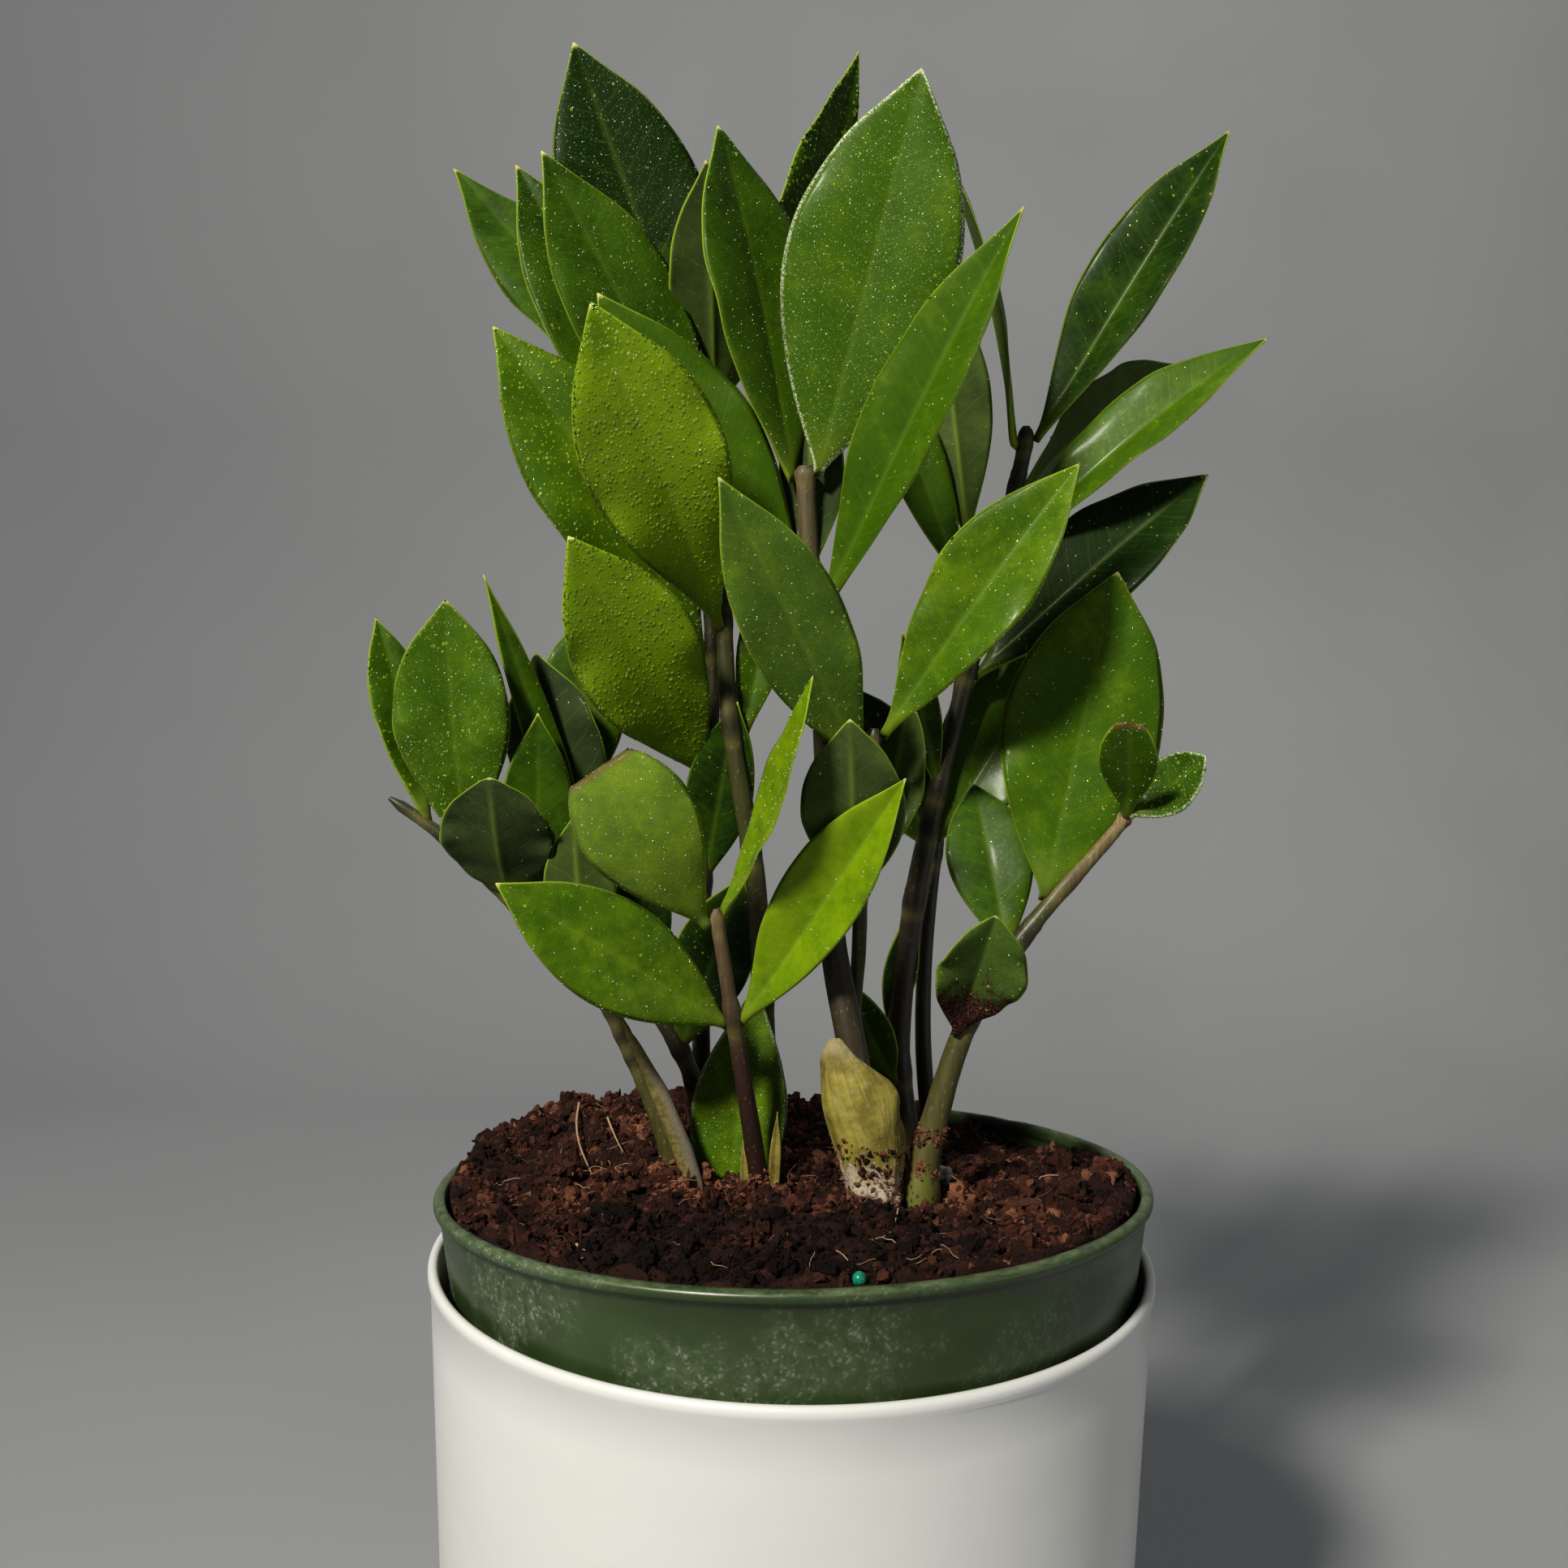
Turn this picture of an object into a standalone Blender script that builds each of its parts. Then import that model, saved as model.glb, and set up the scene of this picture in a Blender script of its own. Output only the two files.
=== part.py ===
"""A young ZZ plant in a green nursery pot, which leans a little inside a white cachepot.

The frame is metres with +Z up, and the origin is the middle of the cachepot's flat bottom. -Y is the
front. Every size below is in millimetres and every angle in degrees, and MM turns them into metres.
"""

import math
from dataclasses import dataclass, replace

import bmesh
import bpy
from mathutils import Euler, Vector

MM = 0.001
GAP = 0.3  # left between pieces that touch

# Nursery pot: a thin tapered plastic pot with a rolled rim.
NURSERY_RIM_RADIUS = 76.0
NURSERY_HEIGHT = 137.0
NURSERY_WALL = 1.2
NURSERY_FLOOR = 1.6
NURSERY_TAPER = 8.5
NURSERY_EDGE_ROUND = 3.0
BEAD_HEIGHT = 2.4
BEAD_PROUD = 1.3
RIM_CHAMFER = 0.4
LEAN_BACK = 3.6
LEAN_LEFT = 1.3

# Cachepot: it is made to take the nursery pot, so its radius follows from that pot's.
CACHEPOT_HEIGHT = 130.0
CACHEPOT_WALL = 2.2
CACHEPOT_FLOOR = 4.0
CACHEPOT_TAPER = 1.9
CACHEPOT_EDGE_ROUND = 2.5
LIP_PROUD = 0.5
LIP_HEIGHT = 3.2
MOUTH_CLEARANCE = 0.7

# Soil: it fills the nursery pot up to about its rim, heaped on the left and hollow at the back right.
SOIL_DROP = 1.0
SOIL_HEAP = 9.0
SOIL_HOLLOW = 5.5
SOIL_LUMP = 0.7
SOIL_RINGS = (0.0, 0.14, 0.28, 0.42, 0.56, 0.7, 0.83, 0.93, 1.0)
SOIL_SHOULDER = 12.0  # depth of the first ring below the surface
BURIED = 24.0  # how deep the stems go

LEAF_THICKNESS = 0.8
LEAF_FOOT_WIDTH = 2.2
LEAF_FOOT_LIFT = 0.8  # how far the foot stands off along the leaf
LEAF_ROWS = (0.0, 0.07, 0.17, 0.3, 0.44, 0.58, 0.72, 0.84, 0.93, 1.0)
LEAF_COLUMNS = (-1.0, -0.55, 0.0, 0.55, 1.0)
LEAF_WIDEST = 1.08  # over 1, the widest place is nearer the foot than the tip
LEAF_FLAT_FOOT = 0.35  # share of the length over which the fold opens out from the foot
STEM_FLARE = 1.5  # over 1, the stem narrows mostly near the soil

TURNED_STEPS = 48
SOIL_STEPS = 36


@dataclass
class Stem:
    """A stalk, as points (x, y, height above the pot's rim) from the soil up."""

    name: str
    base_radius: float
    top_radius: float
    colour: tuple
    points: tuple


@dataclass
class Leaf:
    """A leaf, from its foot on a stem to its tip.

    at is the foot's height above the pot's rim. heading is the compass direction in which the leaf
    points, counted from +X towards +Y, and rise its slope. faces is the direction and the slope in
    which its upper side looks. fold is how far each half is raised about the midrib, and arch how far
    the middle bulges out on the upper side.
    """

    at: float
    heading: float
    rise: float
    length: float
    width: float
    faces: tuple
    fold: float = 10.0
    arch: float = 2.0


BROWN_GREEN = (0.16, 0.15, 0.06)
DARK_BROWN = (0.07, 0.05, 0.03)
PURPLE_BROWN = (0.15, 0.09, 0.07)

STEMS = (
    Stem("left", 2.5, 1.2, BROWN_GREEN,
         ((-25, 0, 0), (-30, 0, 15), (-42, 2, 39), (-51, 3, 47), (-63, 3, 59.5), (-80, 4, 75), (-90, 4, 80))),
    Stem("left_back", 2.3, 1.3, DARK_BROWN,
         ((-20, 14, 0), (-23, 12, 20), (-34, 13, 37), (-43, 15, 54), (-47, 17, 69), (-49, 18, 84))),
    Stem("front", 2.2, 1.4, PURPLE_BROWN,
         ((-7, -9, 0), (-9, -10, 14), (-13, -13, 37), (-15, -15, 50), (-17, -16, 61))),
    Stem("tall_left", 2.9, 1.6, BROWN_GREEN,
         ((-5, 14, 0), (-7, 10, 33), (-9, 4, 64), (-15, 0, 99), (-17, 3, 130), (-20, 8, 169))),
    Stem("mid_left", 2.3, 1.4, DARK_BROWN,
         ((-21, 23, 0), (-21, 20, 21), (-21, 14, 50), (-19, 8, 88), (-19, 8, 113), (-22, 9, 142))),
    Stem("centre", 3.6, 2.0, DARK_BROWN,
         ((17, -20, 0), (14, -18, 17), (11, -15, 35), (7, -11, 55), (5, -8, 96), (2, -8, 123), (0, -8, 151))),
    Stem("centre_short", 1.9, 1.4, BROWN_GREEN,
         ((16, -5, 0), (12, -6, 28), (13, -8, 49), (13, -11, 62), (14, -14, 83), (15, -15, 98))),
    Stem("right_tall", 3.2, 1.8, DARK_BROWN,
         ((27, 25, 0), (24, 26, 22), (28, 28, 60), (37, 30, 101), (42, 31, 122), (49, 33, 150), (52, 33, 166))),
    Stem("right_back", 2.1, 1.4, DARK_BROWN,
         ((33, 35, 0), (31, 35, 18), (31, 37, 41), (34, 39, 74), (38, 41, 103), (42, 43, 143))),
    Stem("right_short", 3.4, 1.5, BROWN_GREEN,
         ((26, -17, 0), (27, -16, 10), (34, -15, 35), (40, -15, 46), (51, -13, 61), (62, -11, 73), (69, -10, 81))),
)

LEAVES = {
    "left": (
        Leaf(60, -92, 58, 28, 24, (88, 10), fold=8, arch=-2),
        Leaf(69, -110, 82, 51, 25, (-90, 10), fold=10),
        Leaf(76, 142, 68, 43, 14, (-60, 10), fold=15),
        Leaf(54, -80, 88, 42, 16, (-80, 10), fold=8, arch=0),
        Leaf(42, -115, 76, 34, 16, (80, 10), arch=-3),
    ),
    "left_back": (
        Leaf(66, 180, 76, 46, 24, (75, 10), fold=8, arch=-3),
        Leaf(80, 110, 80, 40, 20, (-90, 10), fold=8),
        Leaf(57, -155, 70, 74, 8, (-65, 10), fold=10, arch=1),
    ),
    "front": (
        Leaf(37, -160, 33, 54, 22, (-90, 20), fold=12, arch=3),
        Leaf(37, -25, 56, 60, 21, (-110, 15), fold=32, arch=-1),
        Leaf(58, -161, 55, 44, 24, (-90, 15), fold=8, arch=6),
        Leaf(60, -46, 63, 52, 18, (-165, 10), fold=16, arch=-2),
    ),
    "tall_left": (
        Leaf(168, -164, 68, 72, 31, (-90, 10), arch=-1),
        Leaf(163, -97, 75, 48, 18, (110, 10), arch=-1),
        Leaf(149.5, -155, 59.5, 70, 25, (-80, 15), fold=12),
        Leaf(161, 149, 42, 95, 24, (-80, 22), fold=8, arch=-3),
        Leaf(167, 38, 66, 87, 20, (-35, 10), fold=14, arch=3),
        Leaf(118, -123, 54, 70, 29, (-90, 10), fold=14, arch=6),
        Leaf(95, 45, 74, 38, 11, (-90, 10), fold=15),
        Leaf(38, -130, -80, 50, 21, (-95, 10), fold=6),
    ),
    "mid_left": (
        Leaf(141, 175, 63, 83, 27, (-70, 10), fold=18, arch=3),
        Leaf(113, -168, 56, 78, 29, (-80, 15), fold=12, arch=5),
        Leaf(87, -127, 49, 61, 27, (-90, 15), fold=14, arch=3),
    ),
    "centre": (
        Leaf(150, -25, 75, 77, 35, (-92, 10), fold=6, arch=1),
        Leaf(149, 168, 77, 71, 30, (-48, 10), fold=12, arch=2),
        Leaf(122, -34, 60, 83, 21, (-120, 15), fold=26),
        Leaf(123, -175, 56, 72, 28, (-90, 15), fold=14, arch=-1),
    ),
    "centre_short": (
        Leaf(97, -14, 55, 63, 23, (-105, 20), fold=24),
        Leaf(90, -147, 58, 63, 22, (-90, 15), fold=18),
        Leaf(64, -100, 66, 38, 21, (85, 10), fold=8, arch=-2),
        Leaf(65, 50, 70, 41, 14, (60, 10), fold=15),
    ),
    "right_tall": (
        Leaf(165, -4, 59, 77, 23, (-115, 20), fold=28, arch=1),
        Leaf(161, -152, 70, 68, 22, (-12, 10), fold=15, arch=3),
        Leaf(139, -6, 40, 71, 21, (-90, 50), fold=26, arch=3),
        Leaf(152, 32, 35, 58, 22, (110, 45), fold=12, arch=3),
        Leaf(110, 0, 42, 67, 26, (-90, 40), fold=20, arch=2),
        Leaf(73, 18, 56, 51, 28, (-100, 20), fold=12, arch=1),
        Leaf(16, -124, 50, 34, 10, (-90, 10), fold=15),
    ),
    "right_back": (
        Leaf(142, 122, 77, 64, 20, (90, 10), fold=12, arch=-2),
        Leaf(130, 165, 68, 61, 14, (-90, 10), fold=10),
    ),
    "right_short": (
        Leaf(37, -60, 66, 25, 20, (-80, 15), fold=25, arch=1),
        Leaf(63.5, 22, 77, 65, 33, (-92, 10), fold=6, arch=-2),
        Leaf(53, 108, 61, 34, 18, (-100, 35), fold=8),
        Leaf(79.5, -101, 48.5, 28, 12, (-105, 20), fold=14, arch=1),
        Leaf(80, -30, 42, 18, 12, (-80, 45), fold=10, arch=-1),
    ),
}
BURIED_LEAF = ("tall_left", 8)  # its tip is under the soil

# A young shoot still rolled up, as points with a radius: (x, y, height, radius).
SPEAR = ((-21, -8, 0, 2.2), (-24, -7, 8, 2.3), (-29, -6, 20, 2.2), (-34, -4, 29, 1.4), (-37, -3, 34, 0.4))

# The papery scale leaf round the foot of the middle stem, as height and radius.
SCALE_LEAF_PROFILE = ((0.0, 4.3), (0.2, 5.0), (0.45, 6.6), (0.7, 7.4), (0.88, 6.8), (1.0, 5.4))
SCALE_LEAF_HEIGHT = 35.0
SCALE_LEAF_SLANT = 10.0
SCALE_LEAF_REACH = 105.0  # how far it goes round to each side
SCALE_LEAF_THICKNESS = 0.8
SCALE_LEAF_COLUMNS = 11
SCALE_LEAF_TURN = -98.0  # heading of its middle


def clear_scene():
    for obj in list(bpy.data.objects):
        bpy.data.objects.remove(obj)


def new_collection(name):
    collection = bpy.data.collections.new(name)
    bpy.context.scene.collection.children.link(collection)
    return collection


def new_material(name, colour, roughness):
    made = bpy.data.materials.new(name)
    made.use_nodes = True
    shader = made.node_tree.nodes["Principled BSDF"]
    shader.inputs["Base Color"].default_value = (*colour, 1.0)
    shader.inputs["Roughness"].default_value = roughness
    shader.inputs["Metallic"].default_value = 0.0
    return made


def new_object(name, data, collection, made_of=None):
    obj = bpy.data.objects.new(name, data)
    collection.objects.link(obj)
    if made_of:
        data.materials.append(made_of)
    return obj


def direction(heading, rise):
    """The unit vector with this compass heading and slope."""
    turn, slope = math.radians(heading), math.radians(rise)
    return Vector((math.cos(turn) * math.cos(slope), math.sin(turn) * math.cos(slope), math.sin(slope)))


def arc(centre_x, centre_z, radius, start, end, steps=4):
    """Points (x, z) along an arc, from one angle to another."""
    angles = [math.radians(start + (end - start) * step / steps) for step in range(steps + 1)]
    return [(centre_x + radius * math.cos(a), centre_z + radius * math.sin(a)) for a in angles]


# ---- the two pots ----------------------------------------------------------------------------------


def nursery_outside(depth):
    """The nursery pot's outer radius, this far below its rim and its bead."""
    return NURSERY_RIM_RADIUS - BEAD_PROUD - (depth - BEAD_HEIGHT) * math.tan(math.radians(NURSERY_TAPER))


def nursery_inside(depth):
    return nursery_outside(depth) - NURSERY_WALL


def lean():
    """How the nursery pot and its soil are turned about the middle of the rim."""
    return Euler((math.radians(-LEAN_BACK), math.radians(-LEAN_LEFT), 0)).to_matrix()


def lean_angle():
    return (lean() @ Vector((0, 0, 1))).angle(Vector((0, 0, 1)))


def rim_height():
    """The middle of the nursery pot's rim, when the low side of its base stands on the floor."""
    base = nursery_outside(NURSERY_HEIGHT)
    return (
        CACHEPOT_FLOOR + GAP + NURSERY_HEIGHT * math.cos(lean_angle()) + base * math.sin(lean_angle())
    )


def mouth_radius():
    """The cachepot's inner radius at its lip, which clears the leaning pot at every depth."""
    shrink = math.tan(math.radians(CACHEPOT_TAPER))
    widest = 0.0
    for depth in range(int(NURSERY_HEIGHT)):
        low = rim_height() - depth * math.cos(lean_angle())
        if low > CACHEPOT_HEIGHT:
            continue
        outside = NURSERY_RIM_RADIUS if depth <= BEAD_HEIGHT else nursery_outside(depth)
        reach = outside + depth * math.sin(lean_angle())
        widest = max(widest, reach + MOUTH_CLEARANCE + (CACHEPOT_HEIGHT - low) * shrink)
    return widest


def turned(name, profile, collection, made_of):
    """A shape turned about Z. The profile runs down its outer side."""
    mesh = bpy.data.meshes.new(name)
    edges = [(i, i + 1) for i in range(len(profile) - 1)]
    mesh.from_pydata([(x * MM, 0.0, z * MM) for x, z in profile], edges, [])
    obj = new_object(name, mesh, collection, made_of)
    screw = obj.modifiers.new("Screw", "SCREW")
    screw.steps = screw.render_steps = TURNED_STEPS
    screw.use_merge_vertices = True
    screw.merge_threshold = 0.00001
    screw.use_smooth_shade = True
    return obj


def make_cachepot(collection):
    shrink = math.tan(math.radians(CACHEPOT_TAPER))
    inner = mouth_radius()
    outer = inner + CACHEPOT_WALL
    lip = CACHEPOT_WALL / 2
    top = CACHEPOT_HEIGHT
    corner = CACHEPOT_EDGE_ROUND
    floor_radius = inner - (top - CACHEPOT_FLOOR) * shrink
    foot_radius = outer - top * shrink
    neck = outer - LIP_PROUD - LIP_HEIGHT * shrink
    profile = [(0, CACHEPOT_FLOOR)]
    profile += arc(floor_radius - corner, CACHEPOT_FLOOR + corner, corner, -90, 0)
    profile += arc(inner + lip, top - lip, lip, 180, 0, steps=6)
    profile += [(outer, top - lip * 2), (neck, top - LIP_HEIGHT)]
    profile += arc(foot_radius - corner, corner, corner, 0, -90)
    profile += [(0, 0)]
    glaze = new_material("white_glaze", (0.82, 0.82, 0.79), 0.3)
    return turned("cachepot", profile, collection, glaze)


def make_nursery_pot(collection, holder):
    """Modelled with the middle of its rim at the origin, then leaned by its holder."""
    deep = NURSERY_HEIGHT
    corner = NURSERY_EDGE_ROUND
    wall_top = NURSERY_RIM_RADIUS - BEAD_PROUD
    bead = BEAD_HEIGHT / 2
    base = nursery_outside(deep)
    floor_depth = deep - NURSERY_FLOOR
    profile = [(0, -floor_depth), (nursery_inside(floor_depth) - corner, -floor_depth)]
    profile += [(nursery_inside(floor_depth - corner), corner - floor_depth)]
    profile += [(wall_top - NURSERY_WALL, -BEAD_HEIGHT), (wall_top - NURSERY_WALL, -RIM_CHAMFER)]
    profile += [(wall_top - NURSERY_WALL + RIM_CHAMFER, 0)]
    profile += arc(NURSERY_RIM_RADIUS - bead, -bead, bead, 90, -60)
    profile += [(wall_top, -BEAD_HEIGHT - RIM_CHAMFER)]
    profile += arc(base - corner, corner - deep, corner, -10, -90)
    profile += [(0, -deep)]
    plastic = new_material("green_plastic", (0.05, 0.13, 0.06), 0.42)
    obj = turned("nursery_pot", profile, collection, plastic)
    obj.parent = holder
    return obj


# ---- paths, stems and leaves -----------------------------------------------------------------------


def smooth_path(points, per_span=3):
    """Points read off a smooth curve that passes through the given ones."""
    ends = [2 * points[0] - points[1], *points, 2 * points[-1] - points[-2]]
    path = []
    for a, b, c, d in zip(ends, ends[1:], ends[2:], ends[3:]):
        for step in range(per_span):
            t = step / per_span
            path.append(
                0.5 * (2 * b + t * (c - a) + t**2 * (2 * a - 5 * b + 4 * c - d) + t**3 * (d - a + 3 * (b - c)))
            )
    return [*path, points[-1]]


def stem_path(stem):
    """The stem's middle line in the model's frame, from its buried end to its top, and its radii."""
    above = [Vector(point) + Vector((0, 0, rim_height())) for point in stem.points]
    path = smooth_path(above, per_span=2)
    path = [above[0] - Vector((0, 0, BURIED)), *path]
    foot, top = above[0].z, above[-1].z
    radii = []
    for point in path:
        up = min(1.0, max(0.0, (point.z - foot) / (top - foot)))
        radii.append(stem.top_radius + (stem.base_radius - stem.top_radius) * (1 - up) ** STEM_FLARE)
    return path, radii


def stem_at(stem, height):
    """The point, the direction and the radius of a stem, at a height above the rim."""
    path, radii = stem_path(stem)
    level = rim_height() + height
    for i in range(len(path) - 1):
        low, high = path[i], path[i + 1]
        if low.z <= level <= high.z or i == len(path) - 2:
            part = min(1.0, (level - low.z) / (high.z - low.z))
            return low.lerp(high, part), (high - low).normalized(), radii[i] + (radii[i + 1] - radii[i]) * part
    raise ValueError(f"{stem.name} has no point at height {height}")


def tube(name, path, radii, collection, made_of=None):
    """A round stalk along a path, with a radius at each point."""
    curve = bpy.data.curves.new(name, "CURVE")
    curve.dimensions = "3D"
    curve.bevel_depth = MM
    curve.bevel_resolution = 2
    curve.use_fill_caps = True
    spline = curve.splines.new("POLY")
    spline.points.add(len(path) - 1)
    for spot, centre, radius in zip(spline.points, path, radii):
        spot.co = (*(centre * MM), 1.0)
        spot.radius = radius
    spline.use_smooth = True
    return new_object(name, curve, collection, made_of)


def as_mesh(obj, collection):
    """The curve object made a closed mesh, for a Boolean."""
    graph = bpy.context.evaluated_depsgraph_get()
    mesh = bpy.data.meshes.new_from_object(obj.evaluated_get(graph))
    shape = bmesh.new()
    shape.from_mesh(mesh)
    bmesh.ops.remove_doubles(shape, verts=shape.verts, dist=0.000001)
    bmesh.ops.recalc_face_normals(shape, faces=shape.faces)
    shape.to_mesh(mesh)
    shape.free()
    made = new_object(obj.name + "_solid", mesh, collection)
    made.matrix_world = obj.matrix_world
    bpy.data.objects.remove(obj)
    return made


def leaf_half_width(leaf, along):
    """Half the blade's width, at a share of its length from the foot."""
    slender = 1.1 - 0.55 * leaf.width / leaf.length
    blade = max(0.0, math.sin(math.pi * along**LEAF_WIDEST)) ** slender
    foot = LEAF_FOOT_WIDTH / 2 * max(0.25, 1 - along)
    return max(foot, leaf.width / 2 * blade)


def leaf_axes(leaf):
    """The directions along the leaf, out of its upper side and across it."""
    forward = direction(leaf.heading, leaf.rise)
    upper = direction(*leaf.faces)
    upper = (upper - forward * upper.dot(forward)).normalized()
    return forward, upper, forward.cross(upper)


def leaf_grid(leaf, foot):
    """Rows of points over the leaf's middle surface, in millimetres."""
    forward, upper, across = leaf_axes(leaf)
    fold = math.radians(leaf.fold)
    rows = []
    for along in LEAF_ROWS:
        bend = leaf.arch * 4 * along * (1 - along)
        middle = foot + forward * (along * leaf.length) + upper * bend
        half = leaf_half_width(leaf, along)
        opened = math.sin(math.pi / 2 * min(1.0, along / LEAF_FLAT_FOOT))
        rows.append([
            middle
            + across * (side * half * math.cos(fold))
            + upper * (abs(side) * half * math.sin(fold) * opened)
            for side in LEAF_COLUMNS
        ])
    return rows


def shell(name, rows, thickness, collection, made_of=None):
    """A thin closed leaf or scale: a grid of points given its thickness by Solidify."""
    columns = len(rows[0])
    corners = [point * MM for row in rows for point in row]
    faces = [
        (r * columns + c, r * columns + c + 1, (r + 1) * columns + c + 1, (r + 1) * columns + c)
        for r in range(len(rows) - 1)
        for c in range(columns - 1)
    ]
    mesh = bpy.data.meshes.new(name)
    mesh.from_pydata(corners, [], faces)
    mesh.shade_smooth()
    obj = new_object(name, mesh, collection, made_of)
    solidify = obj.modifiers.new("Thickness", "SOLIDIFY")
    solidify.thickness = thickness * MM
    solidify.offset = 0.0
    return obj


def leaf_foot(stem, leaf):
    """Where the leaf starts: just off the stem's skin, on the side to which it points."""
    centre, along, radius = stem_at(stem, leaf.at)
    forward, upper, across = leaf_axes(leaf)
    out = (forward - along * forward.dot(along)).normalized()
    reach = abs(across.dot(out)) * LEAF_FOOT_WIDTH / 2 + abs(upper.dot(out)) * LEAF_THICKNESS / 2
    return centre + out * (radius + GAP + reach) + forward * LEAF_FOOT_LIFT


def make_stems(collection):
    for stem in STEMS:
        bark = new_material("stem_" + stem.name, stem.colour, 0.5)
        path, radii = stem_path(stem)
        tube("stem_" + stem.name, path, radii, collection, bark)


def make_leaves(collection):
    green = new_material("leaf", (0.05, 0.17, 0.015), 0.28)
    for stem in STEMS:
        for number, leaf in enumerate(LEAVES[stem.name], start=1):
            rows = leaf_grid(leaf, leaf_foot(stem, leaf))
            shell(f"leaf_{stem.name}_{number}", rows, LEAF_THICKNESS, collection, green)


def lifted(points):
    return [Vector(point[:3]) + Vector((0, 0, rim_height())) for point in points]


def make_spear(collection):
    path = lifted(SPEAR)
    radii = [point[3] for point in SPEAR]
    down = Vector((0, 0, -BURIED / 2))
    skin = new_material("spear", (0.42, 0.38, 0.12), 0.5)
    return tube("spear_shoot", [path[0] + down, *path], [radii[0], *radii], collection, skin)


def make_scale_leaf(collection):
    """A hood wrapped round the front of the middle stem, its upper edge slanting down to the right."""
    stem = next(stem for stem in STEMS if stem.name == "centre")
    columns = []
    for step in range(SCALE_LEAF_COLUMNS):
        side = 2 * step / (SCALE_LEAF_COLUMNS - 1) - 1
        angle = math.radians(SCALE_LEAF_TURN + side * SCALE_LEAF_REACH)
        out = Vector((math.cos(angle), math.sin(angle), 0))
        slant = max(0.0, side + 0.25) * 1.3 + max(0.0, -side - 0.25) * 0.8
        top = SCALE_LEAF_HEIGHT - SCALE_LEAF_SLANT * slant
        column = []
        for share, radius in SCALE_LEAF_PROFILE:
            height = share * top
            centre = stem_at(stem, height)[0]
            ground = soil_top(centre.x + out.x * radius, centre.y + out.y * radius)
            centre.z = max(centre.z, ground + GAP * 2)
            column.append(centre + out * radius)
        columns.append(column)
    rows = [list(row) for row in zip(*columns)]
    paper = new_material("papery_scale", (0.52, 0.46, 0.2), 0.55)
    return shell("scale_leaf", rows, SCALE_LEAF_THICKNESS, collection, paper)


# ---- soil ------------------------------------------------------------------------------------------


def soil_level(x, y):
    """The soil's height over the rim's plane, at a place across the nursery pot."""
    across, back = x / NURSERY_RIM_RADIUS, y / NURSERY_RIM_RADIUS
    inward = max(0.0, 1 - (across**2 + back**2))
    heap = SOIL_HEAP * math.exp(-((across + 0.62) ** 2 + (back - 0.38) ** 2) / 0.26) * min(1.0, inward * 7)
    hollow = SOIL_HOLLOW * math.exp(-((across - 0.7) ** 2 + (back - 0.5) ** 2) / 0.1)
    lumps = SOIL_LUMP * math.sin(across * 17 + 1) * math.cos(back * 14 + across * 5) * min(1.0, inward * 5)
    return heap - hollow + lumps - SOIL_DROP


def soil_top(x, y):
    """The same surface in the model's frame, once leaned."""
    up = lean() @ Vector((0, 0, 1))
    plane = -(x * up.x + y * up.y) / up.z
    return rim_height() + plane + soil_level(x, y)


def make_soil(collection, holder):
    """A turned plug that fills the nursery pot, its top then raised and lowered."""
    bottom = NURSERY_FLOOR + GAP - NURSERY_HEIGHT
    corner = NURSERY_EDGE_ROUND + GAP
    edge = nursery_inside(BEAD_HEIGHT) - GAP
    profile = [(share * edge, 0.0) for share in SOIL_RINGS]
    profile += [(nursery_inside(SOIL_SHOULDER) - GAP, -SOIL_SHOULDER)]
    profile += [(nursery_inside(-bottom - corner) - GAP, bottom + corner)]
    profile += [(nursery_inside(-bottom) - GAP - corner, bottom), (0.0, bottom)]
    shape = bmesh.new()
    spots = [shape.verts.new((x * MM, 0.0, z * MM)) for x, z in profile]
    edges = [shape.edges.new(pair) for pair in zip(spots, spots[1:])]
    bmesh.ops.spin(
        shape, geom=[*spots, *edges], cent=(0, 0, 0), axis=(0, 0, 1), angle=2 * math.pi,
        steps=SOIL_STEPS, use_merge=True,
    )
    bmesh.ops.remove_doubles(shape, verts=shape.verts, dist=0.000001)
    for spot in shape.verts:
        if spot.co.z > -0.001 * MM:
            spot.co.z += soil_level(spot.co.x / MM, spot.co.y / MM) * MM
            inside = (nursery_inside(max(BEAD_HEIGHT, -spot.co.z / MM)) - GAP) * MM
            narrowed = min(1.0, inside / max(inside, spot.co.xy.length))
            spot.co.x, spot.co.y = spot.co.x * narrowed, spot.co.y * narrowed
    bmesh.ops.recalc_face_normals(shape, faces=shape.faces)
    mesh = bpy.data.meshes.new("soil")
    shape.to_mesh(mesh)
    shape.free()
    earth = new_material("soil", (0.09, 0.035, 0.02), 0.95)
    obj = new_object("soil", mesh, collection, earth)
    obj.parent = holder
    return obj


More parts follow.
